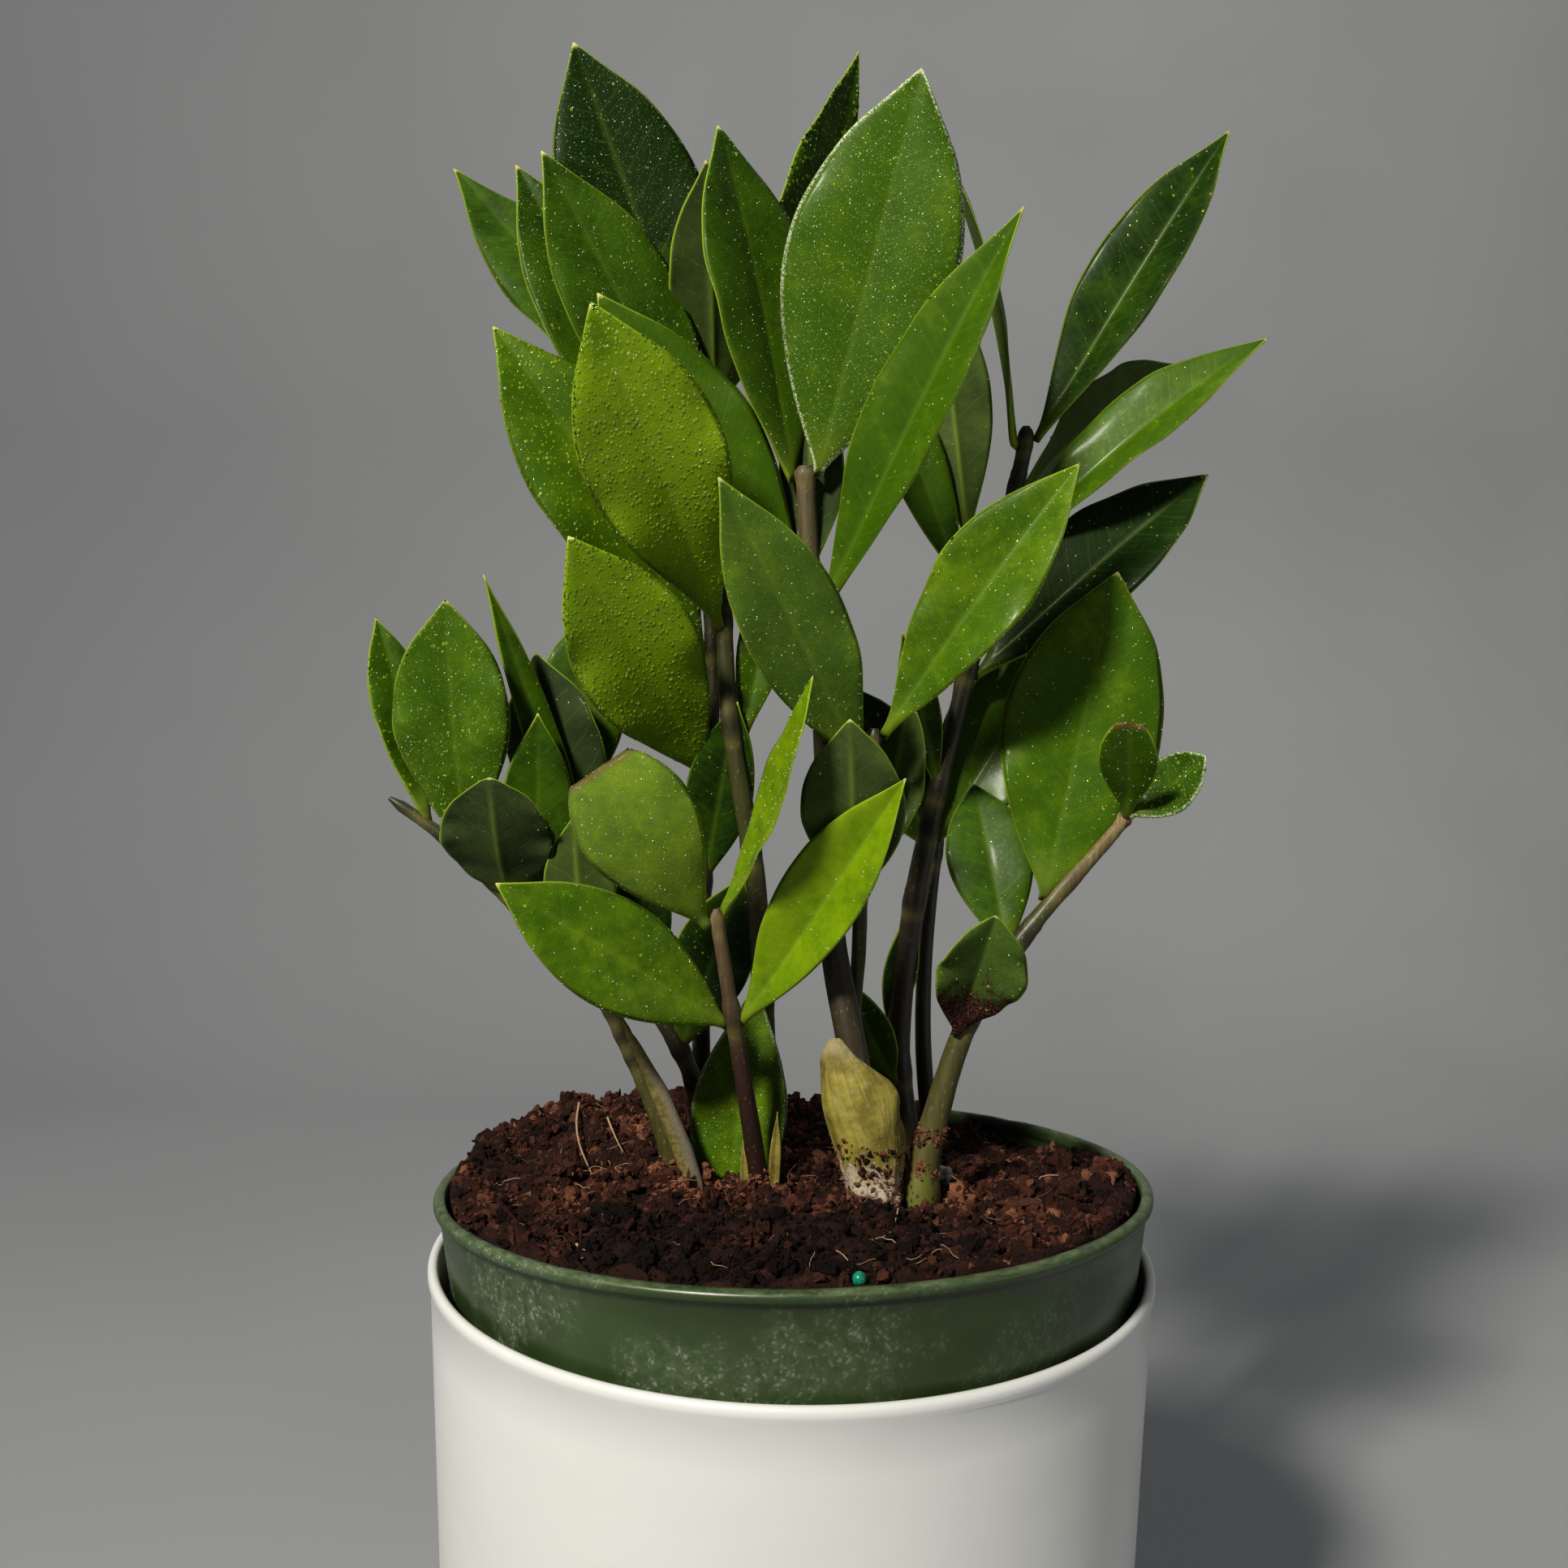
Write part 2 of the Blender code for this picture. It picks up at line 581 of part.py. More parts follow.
def cut_sockets(soil, cutters):
    """A socket in the soil for each stem, for the shoot and for the buried leaf."""
    tools = []
    for stem in STEMS:
        path, radii = stem_path(stem)
        path = [path[0] + (path[0] - path[1]).normalized() * GAP, *path[1:]]
        tools.append(as_mesh(tube("socket_" + stem.name, path, [r + GAP for r in radii], cutters), cutters))
    path = lifted(SPEAR)
    down = Vector((0, 0, -BURIED / 2 - GAP))
    radii = [point[3] + GAP for point in SPEAR]
    spear = tube("socket_spear", [path[0] + down, *path], [radii[0], *radii], cutters)
    tools.append(as_mesh(spear, cutters))
    owner, number = BURIED_LEAF
    stem = next(stem for stem in STEMS if stem.name == owner)
    leaf = LEAVES[owner][number - 1]
    rows = leaf_grid(replace(leaf, width=leaf.width + 2 * GAP), leaf_foot(stem, leaf))
    beyond = direction(leaf.heading, leaf.rise) * 2 * GAP
    rows[-1] = [point + beyond for point in rows[-1]]
    tools.append(shell("socket_leaf", rows, LEAF_THICKNESS + 2 * GAP, cutters))
    for tool in tools:
        tool.hide_render = True
        tool.display_type = "WIRE"
        cut = soil.modifiers.new("Cut " + tool.name, "BOOLEAN")
        cut.operation = "DIFFERENCE"
        cut.solver = "EXACT"
        cut.object = tool


def main():
    clear_scene()
    plant = new_collection("potted_zz_plant")
    cutters = new_collection("cutters")
    make_cachepot(plant)
    holder = new_object("nursery_pot_lean", None, plant)
    holder.location = (0, 0, rim_height() * MM)
    holder.rotation_euler = lean().to_euler()
    make_nursery_pot(plant, holder)
    soil = make_soil(plant, holder)
    make_stems(plant)
    make_spear(plant)
    make_scale_leaf(plant)
    make_leaves(plant)
    cut_sockets(soil, cutters)


main()
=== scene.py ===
import math

import bmesh
import bpy
import numpy as np
from mathutils import Matrix, Vector, noise
from mathutils.bvhtree import BVHTree


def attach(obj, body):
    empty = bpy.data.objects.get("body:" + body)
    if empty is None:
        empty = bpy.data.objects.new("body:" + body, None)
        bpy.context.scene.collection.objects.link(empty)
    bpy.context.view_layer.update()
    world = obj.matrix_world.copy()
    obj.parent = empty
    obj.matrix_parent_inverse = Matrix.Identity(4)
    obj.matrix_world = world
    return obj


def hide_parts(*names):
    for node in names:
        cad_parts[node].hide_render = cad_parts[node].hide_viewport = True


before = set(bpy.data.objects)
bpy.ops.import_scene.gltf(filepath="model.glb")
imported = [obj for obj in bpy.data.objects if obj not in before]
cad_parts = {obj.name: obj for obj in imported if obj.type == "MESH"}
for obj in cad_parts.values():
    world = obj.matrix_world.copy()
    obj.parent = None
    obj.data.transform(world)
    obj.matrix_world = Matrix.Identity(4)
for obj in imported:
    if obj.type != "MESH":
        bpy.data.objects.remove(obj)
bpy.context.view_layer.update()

MM = 0.001
PER_METRE = (1000.0, 1000.0, 1000.0)  # turns metres into millimetres
PER_SQUARE_MM = 1000000.0  # turns a number on a square millimetre into one on a square metre

STEMS = (
    "left", "left_back", "front", "tall_left", "mid_left",
    "centre", "centre_short", "right_tall", "right_back", "right_short",
)
STEM_SLOTS = {
    "left": "stem_green", "tall_left": "stem_green", "centre_short": "stem_green",
    "right_short": "stem_green", "front": "stem_purple",
}

# How light each leaf is, from 0 for the deepest green to 1 for the lightest: partly the leaf's own green,
# partly painted sunlight and shade.
LEAF_TONE_AND_SHADE = {
    "left_1": 0.15, "left_2": 0.52, "left_4": 0.3, "left_back_1": 0.1, "front_1": 0.6, "front_2": 0.82,
    "front_3": 0.74, "front_4": 0.8, "tall_left_1": 0.12, "tall_left_3": 0.35, "tall_left_4": 0.3,
    "tall_left_5": 0.25, "tall_left_6": 0.97, "tall_left_7": 0.35, "tall_left_8": 0.62, "mid_left_1": 0.45,
    "mid_left_2": 0.55, "mid_left_3": 0.9, "centre_1": 0.47, "centre_2": 0.42, "centre_3": 0.46,
    "centre_4": 0.5, "centre_short_1": 0.58, "centre_short_2": 0.56, "right_tall_1": 0.12,
    "right_tall_2": 0.62, "right_tall_3": 0.52, "right_tall_5": 0.04, "right_short_1": 0.4,
    "right_short_2": 0.52, "right_short_3": 0.3, "right_short_4": 0.45, "right_short_5": 0.3,
}
USUAL_TONE = 0.35
# The small inner leaves all take a dark tone: painted shade for the depth of the plant.
INNER_SHADE_TONE = 0.12

# Drops on a square millimetre of a leaf: full ones, and a fine mist, which also sets how many painted white
# sparkles and painted edge glints the leaf gets.
LEAF_DROPS = {
    "tall_left_6": 0.95, "mid_left_3": 0.9, "mid_left_2": 0.5, "tall_left_7": 0.35, "tall_left_5": 0.5,
    "left_2": 0.16, "right_short_5": 0.12, "left_3": 0.2, "left_back_1": 0.12,
}
LEAF_MIST = {
    "centre_1": 0.8, "tall_left_1": 0.5, "left_2": 0.5, "front_1": 0.3, "centre_2": 0.3, "front_3": 0.4,
    "tall_left_8": 0.7, "mid_left_1": 0.5, "tall_left_3": 0.4, "right_short_2": 0.22,
    "centre_short_1": 0.3, "centre_short_2": 0.3, "right_short_5": 0.7, "right_short_4": 0.3, "front_4": 0.4,
}
USUAL_DROPS = 0.02
USUAL_MIST = 0.08

# Soil dust on a leaf. Over 0.85 its foot is dirty too.
LEAF_DUST = {
    "right_short_1": 1.0, "front_3": 0.8, "left_1": 0.5, "centre_short_2": 0.55, "centre_short_3": 0.4,
}
# How much painted shade darkens the green from foot to tip.
SHADED_TIP = {
    "tall_left_1": 0.75, "tall_left_6": 0.4, "centre_2": 0.3, "mid_left_1": 0.4, "tall_left_2": 0.3,
}

# Leaves that are broadest nearer the tip, as the power in the outline's rule.
BROAD_ABOVE = {
    "tall_left_6": 1.35, "mid_left_3": 1.2, "front_3": 1.35, "left_5": 1.25, "centre_short_1": 1.2,
    "right_short_4": 1.3, "right_short_1": 1.2, "left_2": 1.2, "mid_left_1": 1.15, "right_tall_5": 1.15,
}
USUAL_WIDEST = 1.08
BROKEN_TIPS = {"front_3": 0.86, "right_short_4": 0.88}  # share of the leaf that is left

# Small leaves deeper in the plant: stem, height above the rim, heading, rise, length, width,
# and the heading and slope in which the upper side looks.
INNER_LEAVES = (
    ("left_back", 36, -95, 78, 35, 13, -90, 10),
    ("centre", 128, 100, 84, 38, 14, 80, 10),
    ("right_tall", 56, -175, -80, 28, 8, -90, 10),
    ("right_tall", 82, -130, 66, 36, 9, -90, 10),
    ("mid_left", 62, -60, 70, 40, 15, -95, 10),
    ("right_back", 66, 170, 60, 44, 20, -85, 10),
    ("left_back", 24, -20, 70, 40, 18, -90, 10),
)

# A stem's bark: its colour at the soil, above, in its streaks and in its dots.
BARKS = {
    "stem_green": ("olive_stem", (0.095, 0.088, 0.022), (0.058, 0.066, 0.016),
                   (0.034, 0.028, 0.011), (0.20, 0.18, 0.08)),
    "stem_dark": ("dark_stem", (0.050, 0.036, 0.018), (0.042, 0.042, 0.015),
                  (0.018, 0.013, 0.008), (0.13, 0.105, 0.06)),
    "stem_purple": ("purple_stem", (0.036, 0.017, 0.012), (0.062, 0.036, 0.022),
                    (0.022, 0.010, 0.009), (0.14, 0.085, 0.06)),
}
# Where a stem's dry top starts and over what it comes in, as shares of its height, and how dry it gets.
DRY_TOPS = {"centre": (0.72, 0.15, 0.45), "right_short": (0.72, 0.15, 1.0), "front": (0.45, 0.5, 0.7)}
# From where to where soil clings to a stem, in millimetres above the rim.
SOILED = {"right_short": (6.0, 16.0), "front": (-4.0, 4.0), "left": (-4.0, 4.0), "centre": (-4.0, 4.0)}

# Darker rings low on a stem, between its leaves, in millimetres above the rim.
STEM_RINGS = {"left": (25.0, 30.0, 35.0, 40.0), "left_back": (17.0, 24.0, 40.0), "tall_left": (70.0, 104.0)}

# What is strewn on the soil: how many on a square millimetre, smallest and largest radius, how many
# times longer than wide, and the seed. The clods come first, and the rest lies on them too.
CRUMBS = (
    ("soil_clods", 0.016, 1.2, 3.4, 1.0, 3),
    ("crumbs_coarse", 0.060, 0.55, 1.5, 1.0, 6),
    ("crumbs_small", 0.24, 0.45, 0.95, 1.0, 5),
    ("crumbs_fine", 0.24, 0.25, 0.6, 1.0, 9),
    ("bark_slivers", 0.0022, 0.8, 1.3, 3.6, 2),
)
LUMPY = ("soil_clods", "crumbs_coarse")  # these have the finer, lumpier crumb

# Loose pale roots on the soil: x, y and how high they stand off, in millimetres.
ROOT_THREADS = (
    ((-49, 22, 3.0), (-48.5, 14, 2.0), (-46.5, 4, 0.6), (-42.5, -8, 0.3), (-39.6, -15, 0.2)),
    ((-46, -24, 0.1), (-42, -20, 0.3), (-39.6, -15.5, 0.2)),
    ((21.5, -18, 1.5), (20.3, -31, 0.8), (18.2, -39, 0.3), (14.7, -43, 0.2)),
    ((-42, 18, 1.2), (-39.5, 10, 0.6), (-36.8, 2, 0.2)),
    ((39.4, -18, 0.4), (38.7, -29, 0.6), (37.9, -37, 0.1)),
    ((-40, -50, 0.2), (-37, -54, 1.0), (-38, -58, 0.3)),
)

# Dry slips by the front stem: side and back in its radii, length, width, and lean in degrees.
BRACTS = ((-1.0, -0.3, 13.0, 1.5, 94), (1.2, 0.2, 19.0, 2.3, 88))

# Bits that lie on the soil: name, place, radius and unevenness.
LOOSE_BITS = (("feed_bead", 11.0, -69.0, 1.3, 0.05), ("perlite_lump", 32.0, -5.0, 2.0, 0.5))


# ---- node trees ------------------------------------------------------------------------------------


def find_socket(sockets, key):
    """A socket by its number, its identifier or its name."""
    if isinstance(key, int):
        return sockets[key]
    for socket in sockets:
        if socket.identifier == key:
            return socket
    return sockets[key]


def sums(operation, swapped=False):
    """A method that adds a Math node to the wire it is called on."""

    def method(self, *others):
        terms = (*others, self) if swapped else (self, *others)
        return self.bench.add("ShaderNodeMath", {"operation": operation}, dict(enumerate(terms)))

    return method


class Wire:
    """An output of a node. Sums written on it add Math nodes."""

    __add__ = sums("ADD")
    __radd__ = sums("ADD", swapped=True)
    __sub__ = sums("SUBTRACT")
    __rsub__ = sums("SUBTRACT", swapped=True)
    __mul__ = sums("MULTIPLY")
    __rmul__ = sums("MULTIPLY", swapped=True)
    __truediv__ = sums("DIVIDE")
    __pow__ = sums("POWER")
    __abs__ = sums("ABSOLUTE")
    sin = sums("SINE")
    cos = sums("COSINE")
    root = sums("SQRT")
    sign = sums("SIGN")
    exp = sums("EXPONENT")
    fraction = sums("FRACT")
    least = sums("MINIMUM")
    most = sums("MAXIMUM")
    over = sums("GREATER_THAN")

    def __init__(self, bench, socket):
        self.bench, self.socket = bench, socket

    def out(self, name):
        """Another output of the same node."""
        return Wire(self.bench, find_socket(self.socket.node.outputs, name))

    def fade(self, start, end, low=0.0, high=1.0):
        """Goes softly from low at start to high at end."""
        return self.bench.add(
            "ShaderNodeMapRange", {"interpolation_type": "SMOOTHSTEP"},
            {"Value": self, "From Min": start, "From Max": end, "To Min": low, "To Max": high},
        )

    def hump(self, width):
        """1 where the value is 0, and falling away to both sides."""
        return (((self / width) * (self / width)) * -1.0).exp()


class Bench:
    """A node tree being put together."""

    def __init__(self, tree):
        self.tree = tree

    def feed(self, socket, value):
        if isinstance(value, Wire):
            self.tree.links.new(value.socket, socket)
        else:
            socket.default_value = value

    def add(self, kind, settings=None, inputs=None, out=0):
        """A new node: its settings first, then the values or links of its sockets."""
        node = self.tree.nodes.new(kind)
        for name, value in (settings or {}).items():
            setattr(node, name, value)
        for key, value in (inputs or {}).items():
            self.feed(find_socket(node.inputs, key), value)
        return Wire(self, find_socket(node.outputs, out))

    def mix(self, share, first, second):
        """Two colours mixed."""
        picked = {"Factor_Float": share}
        for key, colour in (("A_Color", first), ("B_Color", second)):
            picked[key] = colour if isinstance(colour, Wire) else (*colour, 1.0)
        return self.add("ShaderNodeMix", {"data_type": "RGBA", "blend_type": "MIX"}, picked, "Result_Color")

    def painted(self, colour, *coats):
        """A colour with others laid over it, each by its share."""
        for share, coat in coats:
            colour = self.mix(share, colour, coat)
        return colour

    def grain(self, where, scale, detail=2.0, roughness=0.5):
        """Noise between 0 and 1."""
        return self.add(
            "ShaderNodeTexNoise", None,
            {"Vector": where, "Scale": scale, "Detail": detail, "Roughness": roughness},
        )

    def spots(self, where, scale):
        """How far it is to the middle of the nearest spot."""
        return self.add("ShaderNodeTexVoronoi", None, {"Vector": where, "Scale": scale})

    def vector(self, x, y, z):
        return self.add("ShaderNodeCombineXYZ", None, {0: x, 1: y, 2: z})

    def split(self, vector):
        """The X, Y and Z of a vector."""
        x = self.add("ShaderNodeSeparateXYZ", None, {0: vector})
        return x, x.out("Y"), x.out("Z")

    def vectors(self, operation, first, second):
        return self.add("ShaderNodeVectorMath", {"operation": operation}, {0: first, 1: second})

    def stretched(self, where, sizes):
        return self.vectors("MULTIPLY", where, sizes)

    def scaled(self, vector, size):
        return self.add("ShaderNodeVectorMath", {"operation": "SCALE"}, {0: vector, "Scale": size})

    def field(self, name):
        """A number kept on each point of the mesh."""
        if self.tree.bl_idname == "ShaderNodeTree":
            return self.add("ShaderNodeAttribute", {"attribute_name": name}, None, "Fac")
        kind = "GeometryNodeInputNamedAttribute"
        return self.add(kind, {"data_type": "FLOAT"}, {"Name": name}, "Attribute")


class Finish(Bench):
    """A material being mixed. Its object coordinates, where, are in millimetres."""

    def __init__(self, name, **constants):
        self.material = bpy.data.materials.new(name)
        self.material.use_nodes = True
        super().__init__(self.material.node_tree)
        self.shader = self.tree.nodes["Principled BSDF"]
        for key, value in constants.items():
            self.shader.inputs[key.replace("_", " ")].default_value = value
        self.where = self.stretched(self.add("ShaderNodeTexCoord", out="Object"), PER_METRE)

    def done(self, colour, rough, height=None, strength=0.3, distance=MM):
        """Joins colour, roughness and bump to the shader, and returns the material."""
        self.feed(self.shader.inputs["Base Color"], colour)
        self.feed(self.shader.inputs["Roughness"], rough)
        if height is not None:
            bump = {"Height": height, "Strength": strength, "Distance": distance}
            self.feed(self.shader.inputs["Normal"], self.add("ShaderNodeBump", None, bump))
        return self.material


class Growth(Bench):
    """A geometry tree with its named number inputs, whose wires are in given."""

    def __init__(self, name, numbers, takes_mesh=True):
        super().__init__(bpy.data.node_groups.new(name, "GeometryNodeTree"))
        face = self.tree.interface
        face.new_socket("Geometry", in_out="OUTPUT", socket_type="NodeSocketGeometry")
        if takes_mesh:
            face.new_socket("Geometry", in_out="INPUT", socket_type="NodeSocketGeometry")
        for label, value in numbers:
            kind = "NodeSocketInt" if isinstance(value, int) else "NodeSocketFloat"
            face.new_socket(label, in_out="INPUT", socket_type=kind).default_value = value
        start = self.tree.nodes.new("NodeGroupInput")
        self.given = {socket.name: Wire(self, socket) for socket in start.outputs if socket.name}

    def done(self, geometry, material, realize=False, smooth=True):
        """Gives the geometry its shading and material, and returns the tree."""
        if realize:
            geometry = self.realized(geometry)
        shaded = self.add("GeometryNodeSetShadeSmooth", None, {"Geometry": geometry, "Shade Smooth": smooth})
        dressed = self.add("GeometryNodeSetMaterial", None, {"Geometry": shaded, "Material": material})
        self.feed(self.tree.nodes.new("NodeGroupOutput").inputs[0], dressed)
        return self.tree

    def keep(self, mesh, name, value, domain="POINT"):
        return self.add(
            "GeometryNodeStoreNamedAttribute", {"data_type": "FLOAT", "domain": domain},
            {"Geometry": mesh, "Name": name, "Value": value},
        )

    def chance(self, seed, low=0.0, high=1.0):
        """A random number for each point or copy."""
        ends = {"Min_001": low, "Max_001": high, "Seed": seed}
        return self.add("FunctionNodeRandomValue", {"data_type": "FLOAT"}, ends, "Value_001")

    def random_turn(self, seed, low, high):
        ends = {"Min": low, "Max": high, "Seed": seed}
        angles = self.add("FunctionNodeRandomValue", {"data_type": "FLOAT_VECTOR"}, ends, "Value")
        return self.add("FunctionNodeEulerToRotation", None, {"Euler": angles})

    def place(self, x=1.0, y=1.0, z=1.0):
        """Where a point is, stretched along each axis."""
        return self.stretched(self.add("GeometryNodeInputPosition"), (x, y, z))

    def moved(self, mesh, offset):
        return self.add("GeometryNodeSetPosition", None, {"Geometry": mesh, "Offset": offset})

    def swollen(self, mesh, height):
        """A mesh pushed out along its normals."""
        return self.moved(mesh, self.scaled(self.add("GeometryNodeInputNormal"), height))

    def strewn(self, density, seed, chosen=True):
        """Points strewn over the mesh that comes in, so many on a square metre."""
        return self.add("GeometryNodeDistributePointsOnFaces", {"distribute_method": "RANDOM"}, {
            "Mesh": self.given["Geometry"], "Selection": chosen, "Density": density, "Seed": seed,
        }, "Points")

    def copies(self, points, shape, turn, sizes):
        """The shape on each of the points."""
        return self.add("GeometryNodeInstanceOnPoints", None, {
            "Points": points, "Instance": shape, "Rotation": turn, "Scale": self.vector(*sizes),
        })

    def tube(self, line, sides, thick):
        """A closed tube round a curve."""
        ring = self.add("GeometryNodeCurvePrimitiveCircle", None, {"Resolution": sides, "Radius": 1.0})
        return self.add("GeometryNodeCurveToMesh", None, {
            "Curve": line, "Profile Curve": ring, "Scale": thick, "Fill Caps": True,
        })

    def realized(self, copies):
        return self.add("GeometryNodeRealizeInstances", None, {"Geometry": copies})

    def joined(self, parts):
        whole = self.add("GeometryNodeJoinGeometry")
        for part in reversed(parts):
            self.feed(whole.socket.node.inputs[0], part)
        return whole


def grown(name, tree, values, start_mesh=None, place=None):
    """Runs a geometry tree with these inputs and returns the plain mesh it makes."""
    seed = bpy.data.objects.new(name + "_seed", start_mesh or bpy.data.meshes.new(name + "_seed"))
    bpy.context.scene.collection.objects.link(seed)
    modifier = seed.modifiers.new("Grow", "NODES")
    modifier.node_group = tree
    for item in tree.interface.items_tree:
        if item.in_out == "INPUT" and item.name in values:
            modifier[item.identifier] = values[item.name]
    graph = bpy.context.evaluated_depsgraph_get()
    mesh = bpy.data.meshes.new_from_object(seed.evaluated_get(graph))
    bpy.data.objects.remove(seed)
    mesh.name = name
    if place is not None:
        mesh.transform(place)
    return mesh


# ---- pieces ----------------------------------------------------------------------------------------


def add_piece(name, mesh, replaces=()):
    obj = bpy.data.objects.new(name, mesh)
    bpy.context.scene.collection.objects.link(obj)
    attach(obj, "root")
    if replaces:
        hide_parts(*replaces)
    return obj


def keep_fields(mesh, fields):
    """Numbers kept on each point, by name."""
    for label, values in fields.items():
        kept = mesh.attributes.new(label, "FLOAT", "POINT")
        kept.data.foreach_set("value", np.asarray(values, np.float32))


def mesh_of(name, points, faces, material, fields=None):
    mesh = bpy.data.meshes.new(name)
    mesh.from_pydata([tuple(map(float, p)) for p in points], [], faces)
    keep_fields(mesh, fields or {})
    if material:
        mesh.materials.append(material)
    mesh.shade_smooth()
    return mesh


def filled(mesh, shape):
    """The mesh, holding a bmesh's shape, smooth. The bmesh is used up."""
    shape.to_mesh(mesh)
    shape.free()
    mesh.shade_smooth()
    return mesh


def closed_up(mesh, merge=0.0):
    """The mesh with its faces turned outwards, and points that are closer than merge joined."""
    shape = bmesh.new()
    shape.from_mesh(mesh)
    if merge:
        bmesh.ops.remove_doubles(shape, verts=shape.verts, dist=merge)
    bmesh.ops.recalc_face_normals(shape, faces=shape.faces)
    return filled(mesh, shape)


def spots_of(mesh):
    """A mesh's points, as (points, xyz)."""
    spots = np.empty(len(mesh.vertices) * 3)
    mesh.vertices.foreach_get("co", spots)
    return spots.reshape(-1, 3)


def points_of(node):
    """A CAD node's corners, each once."""
    return np.unique(np.round(spots_of(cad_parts[node].data), 7), axis=0)


def triangles_of(node):
    """A CAD node's triangles, as (triangles, 3 corners, xyz)."""
    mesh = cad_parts[node].data
    mesh.calc_loop_triangles()
    corners = np.empty(len(mesh.loop_triangles) * 3, np.int32)
    mesh.loop_triangles.foreach_get("vertices", corners)
    return spots_of(mesh)[corners.reshape(-1, 3)]


def cut_level(triangles, height):
    """The middle and the radius of what a level plane cuts out of a stalk."""
    above = triangles[:, :, 2] - height
    ends = []
    for a, b in ((0, 1), (1, 2), (2, 0)):
        crossed = above[:, a] * above[:, b] < 0
        share = above[crossed, a] / (above[crossed, a] - above[crossed, b])
        ends.append(triangles[crossed, a] + share[:, None] * (triangles[crossed, b] - triangles[crossed, a]))
    ends = np.unique(np.round(np.concatenate(ends), 6), axis=0)
    if len(ends) < 4:
        return None
    middle = (ends.max(0) + ends.min(0)) / 2
    spread = np.linalg.svd(ends[:, :2] - middle[:2], compute_uv=False)
    return middle, spread[-1] * math.sqrt(2 / len(ends))


def spine_of(node, spacing=2.5):
    """A stalk's middle line from its foot up, and its radii, in metres."""
    triangles = triangles_of(node)
    low, high = triangles[:, :, 2].min(), triangles[:, :, 2].max()
    heights = np.linspace(low + 0.4 * MM, high - 0.3 * MM, int((high - low) / MM / spacing))
    cuts = [cut_level(triangles, height) for height in heights]
    cuts = [cut for cut in cuts if cut]
    middles, radii = np.array([cut[0] for cut in cuts]), np.array([cut[1] for cut in cuts])
    for _ in range(2):
        middles[1:-1] = (middles[:-2] + 2 * middles[1:-1] + middles[2:]) / 4
        radii[1:-1] = (radii[:-2] + 2 * radii[1:-1] + radii[2:]) / 4
    return middles, radii


def spine_at(spine, height):
    middles, radii = spine
    spot = [np.interp(height, middles[:, 2], middles[:, axis]) for axis in range(3)]
    return np.array(spot), float(np.interp(height, middles[:, 2], radii))


LEAF_SHARES = (0.3, 0.44, 0.58, 0.72)  # how far along a leaf its form is measured
FULLEST_ROW = 0.986  # how wide the widest of those is against the whole leaf


def leaf_form(node, stem_spine):
    """A CAD leaf's foot, directions and sizes, measured on its mesh."""
    points = points_of(node)
    first = points[np.argmax(np.linalg.norm(points - points.mean(0), axis=1))]
    second = points[np.argmax(np.linalg.norm(points - first, axis=1))]
    ends = [
        points[np.argsort(np.linalg.norm(points - end, axis=1))[:10]].mean(0) for end in (first, second)
    ]
    middles = stem_spine[0]
    ends.sort(key=lambda end: np.linalg.norm(middles - end, axis=1).min())
    foot, tip = ends
    length = np.linalg.norm(tip - foot)
    forward = (tip - foot) / length
    along = (points - foot) @ forward
    rest = points - foot - along[:, None] * forward
    _, _, ways = np.linalg.svd(rest - rest.mean(0), full_matrices=False)
    across = ways[0] - forward * (ways[0] @ forward)
    across /= np.linalg.norm(across)
    upper = np.cross(forward, across)
    rows = []
    for share in LEAF_SHARES:
        near = np.abs(along / length - share) < 0.045
        wide, high = rest[near] @ across, rest[near] @ upper
        rim = np.abs(wide) > 0.9 * np.abs(wide).max()
        middle = np.abs(wide) < 0.25 * np.abs(wide).max()
        if middle.any():
            rows.append((np.abs(wide[rim]).mean(), high[rim].mean() - high[middle].mean(),
                         high[middle].mean() / (4 * share * (1 - share))))
    half, raised, arch = np.array(rows).T
    if raised.mean() < 0:
        upper, raised, arch = -upper, -raised, -arch
    return {
        "foot": foot, "forward": forward, "upper": upper, "length": length / MM,
        "width": 2 * np.hypot(half, raised).max() / FULLEST_ROW / MM,
        "fold": float(np.mean(np.arctan2(raised, half))), "arch": float(arch.mean()) / MM,
    }


# ---- leaf ------------------------------------------------------------------------------------------

STALK = 2.6  # the short leaf stalk that runs into the stem
STALK_HALF = 1.15  # half its thickness
VEIN_STEP = 6.2  # from one side vein to the next
LEAF_ROWS, LEAF_COLUMNS = 47, 27
OPENS_BY = 0.35  # the share of the leaf by which its two halves have spread


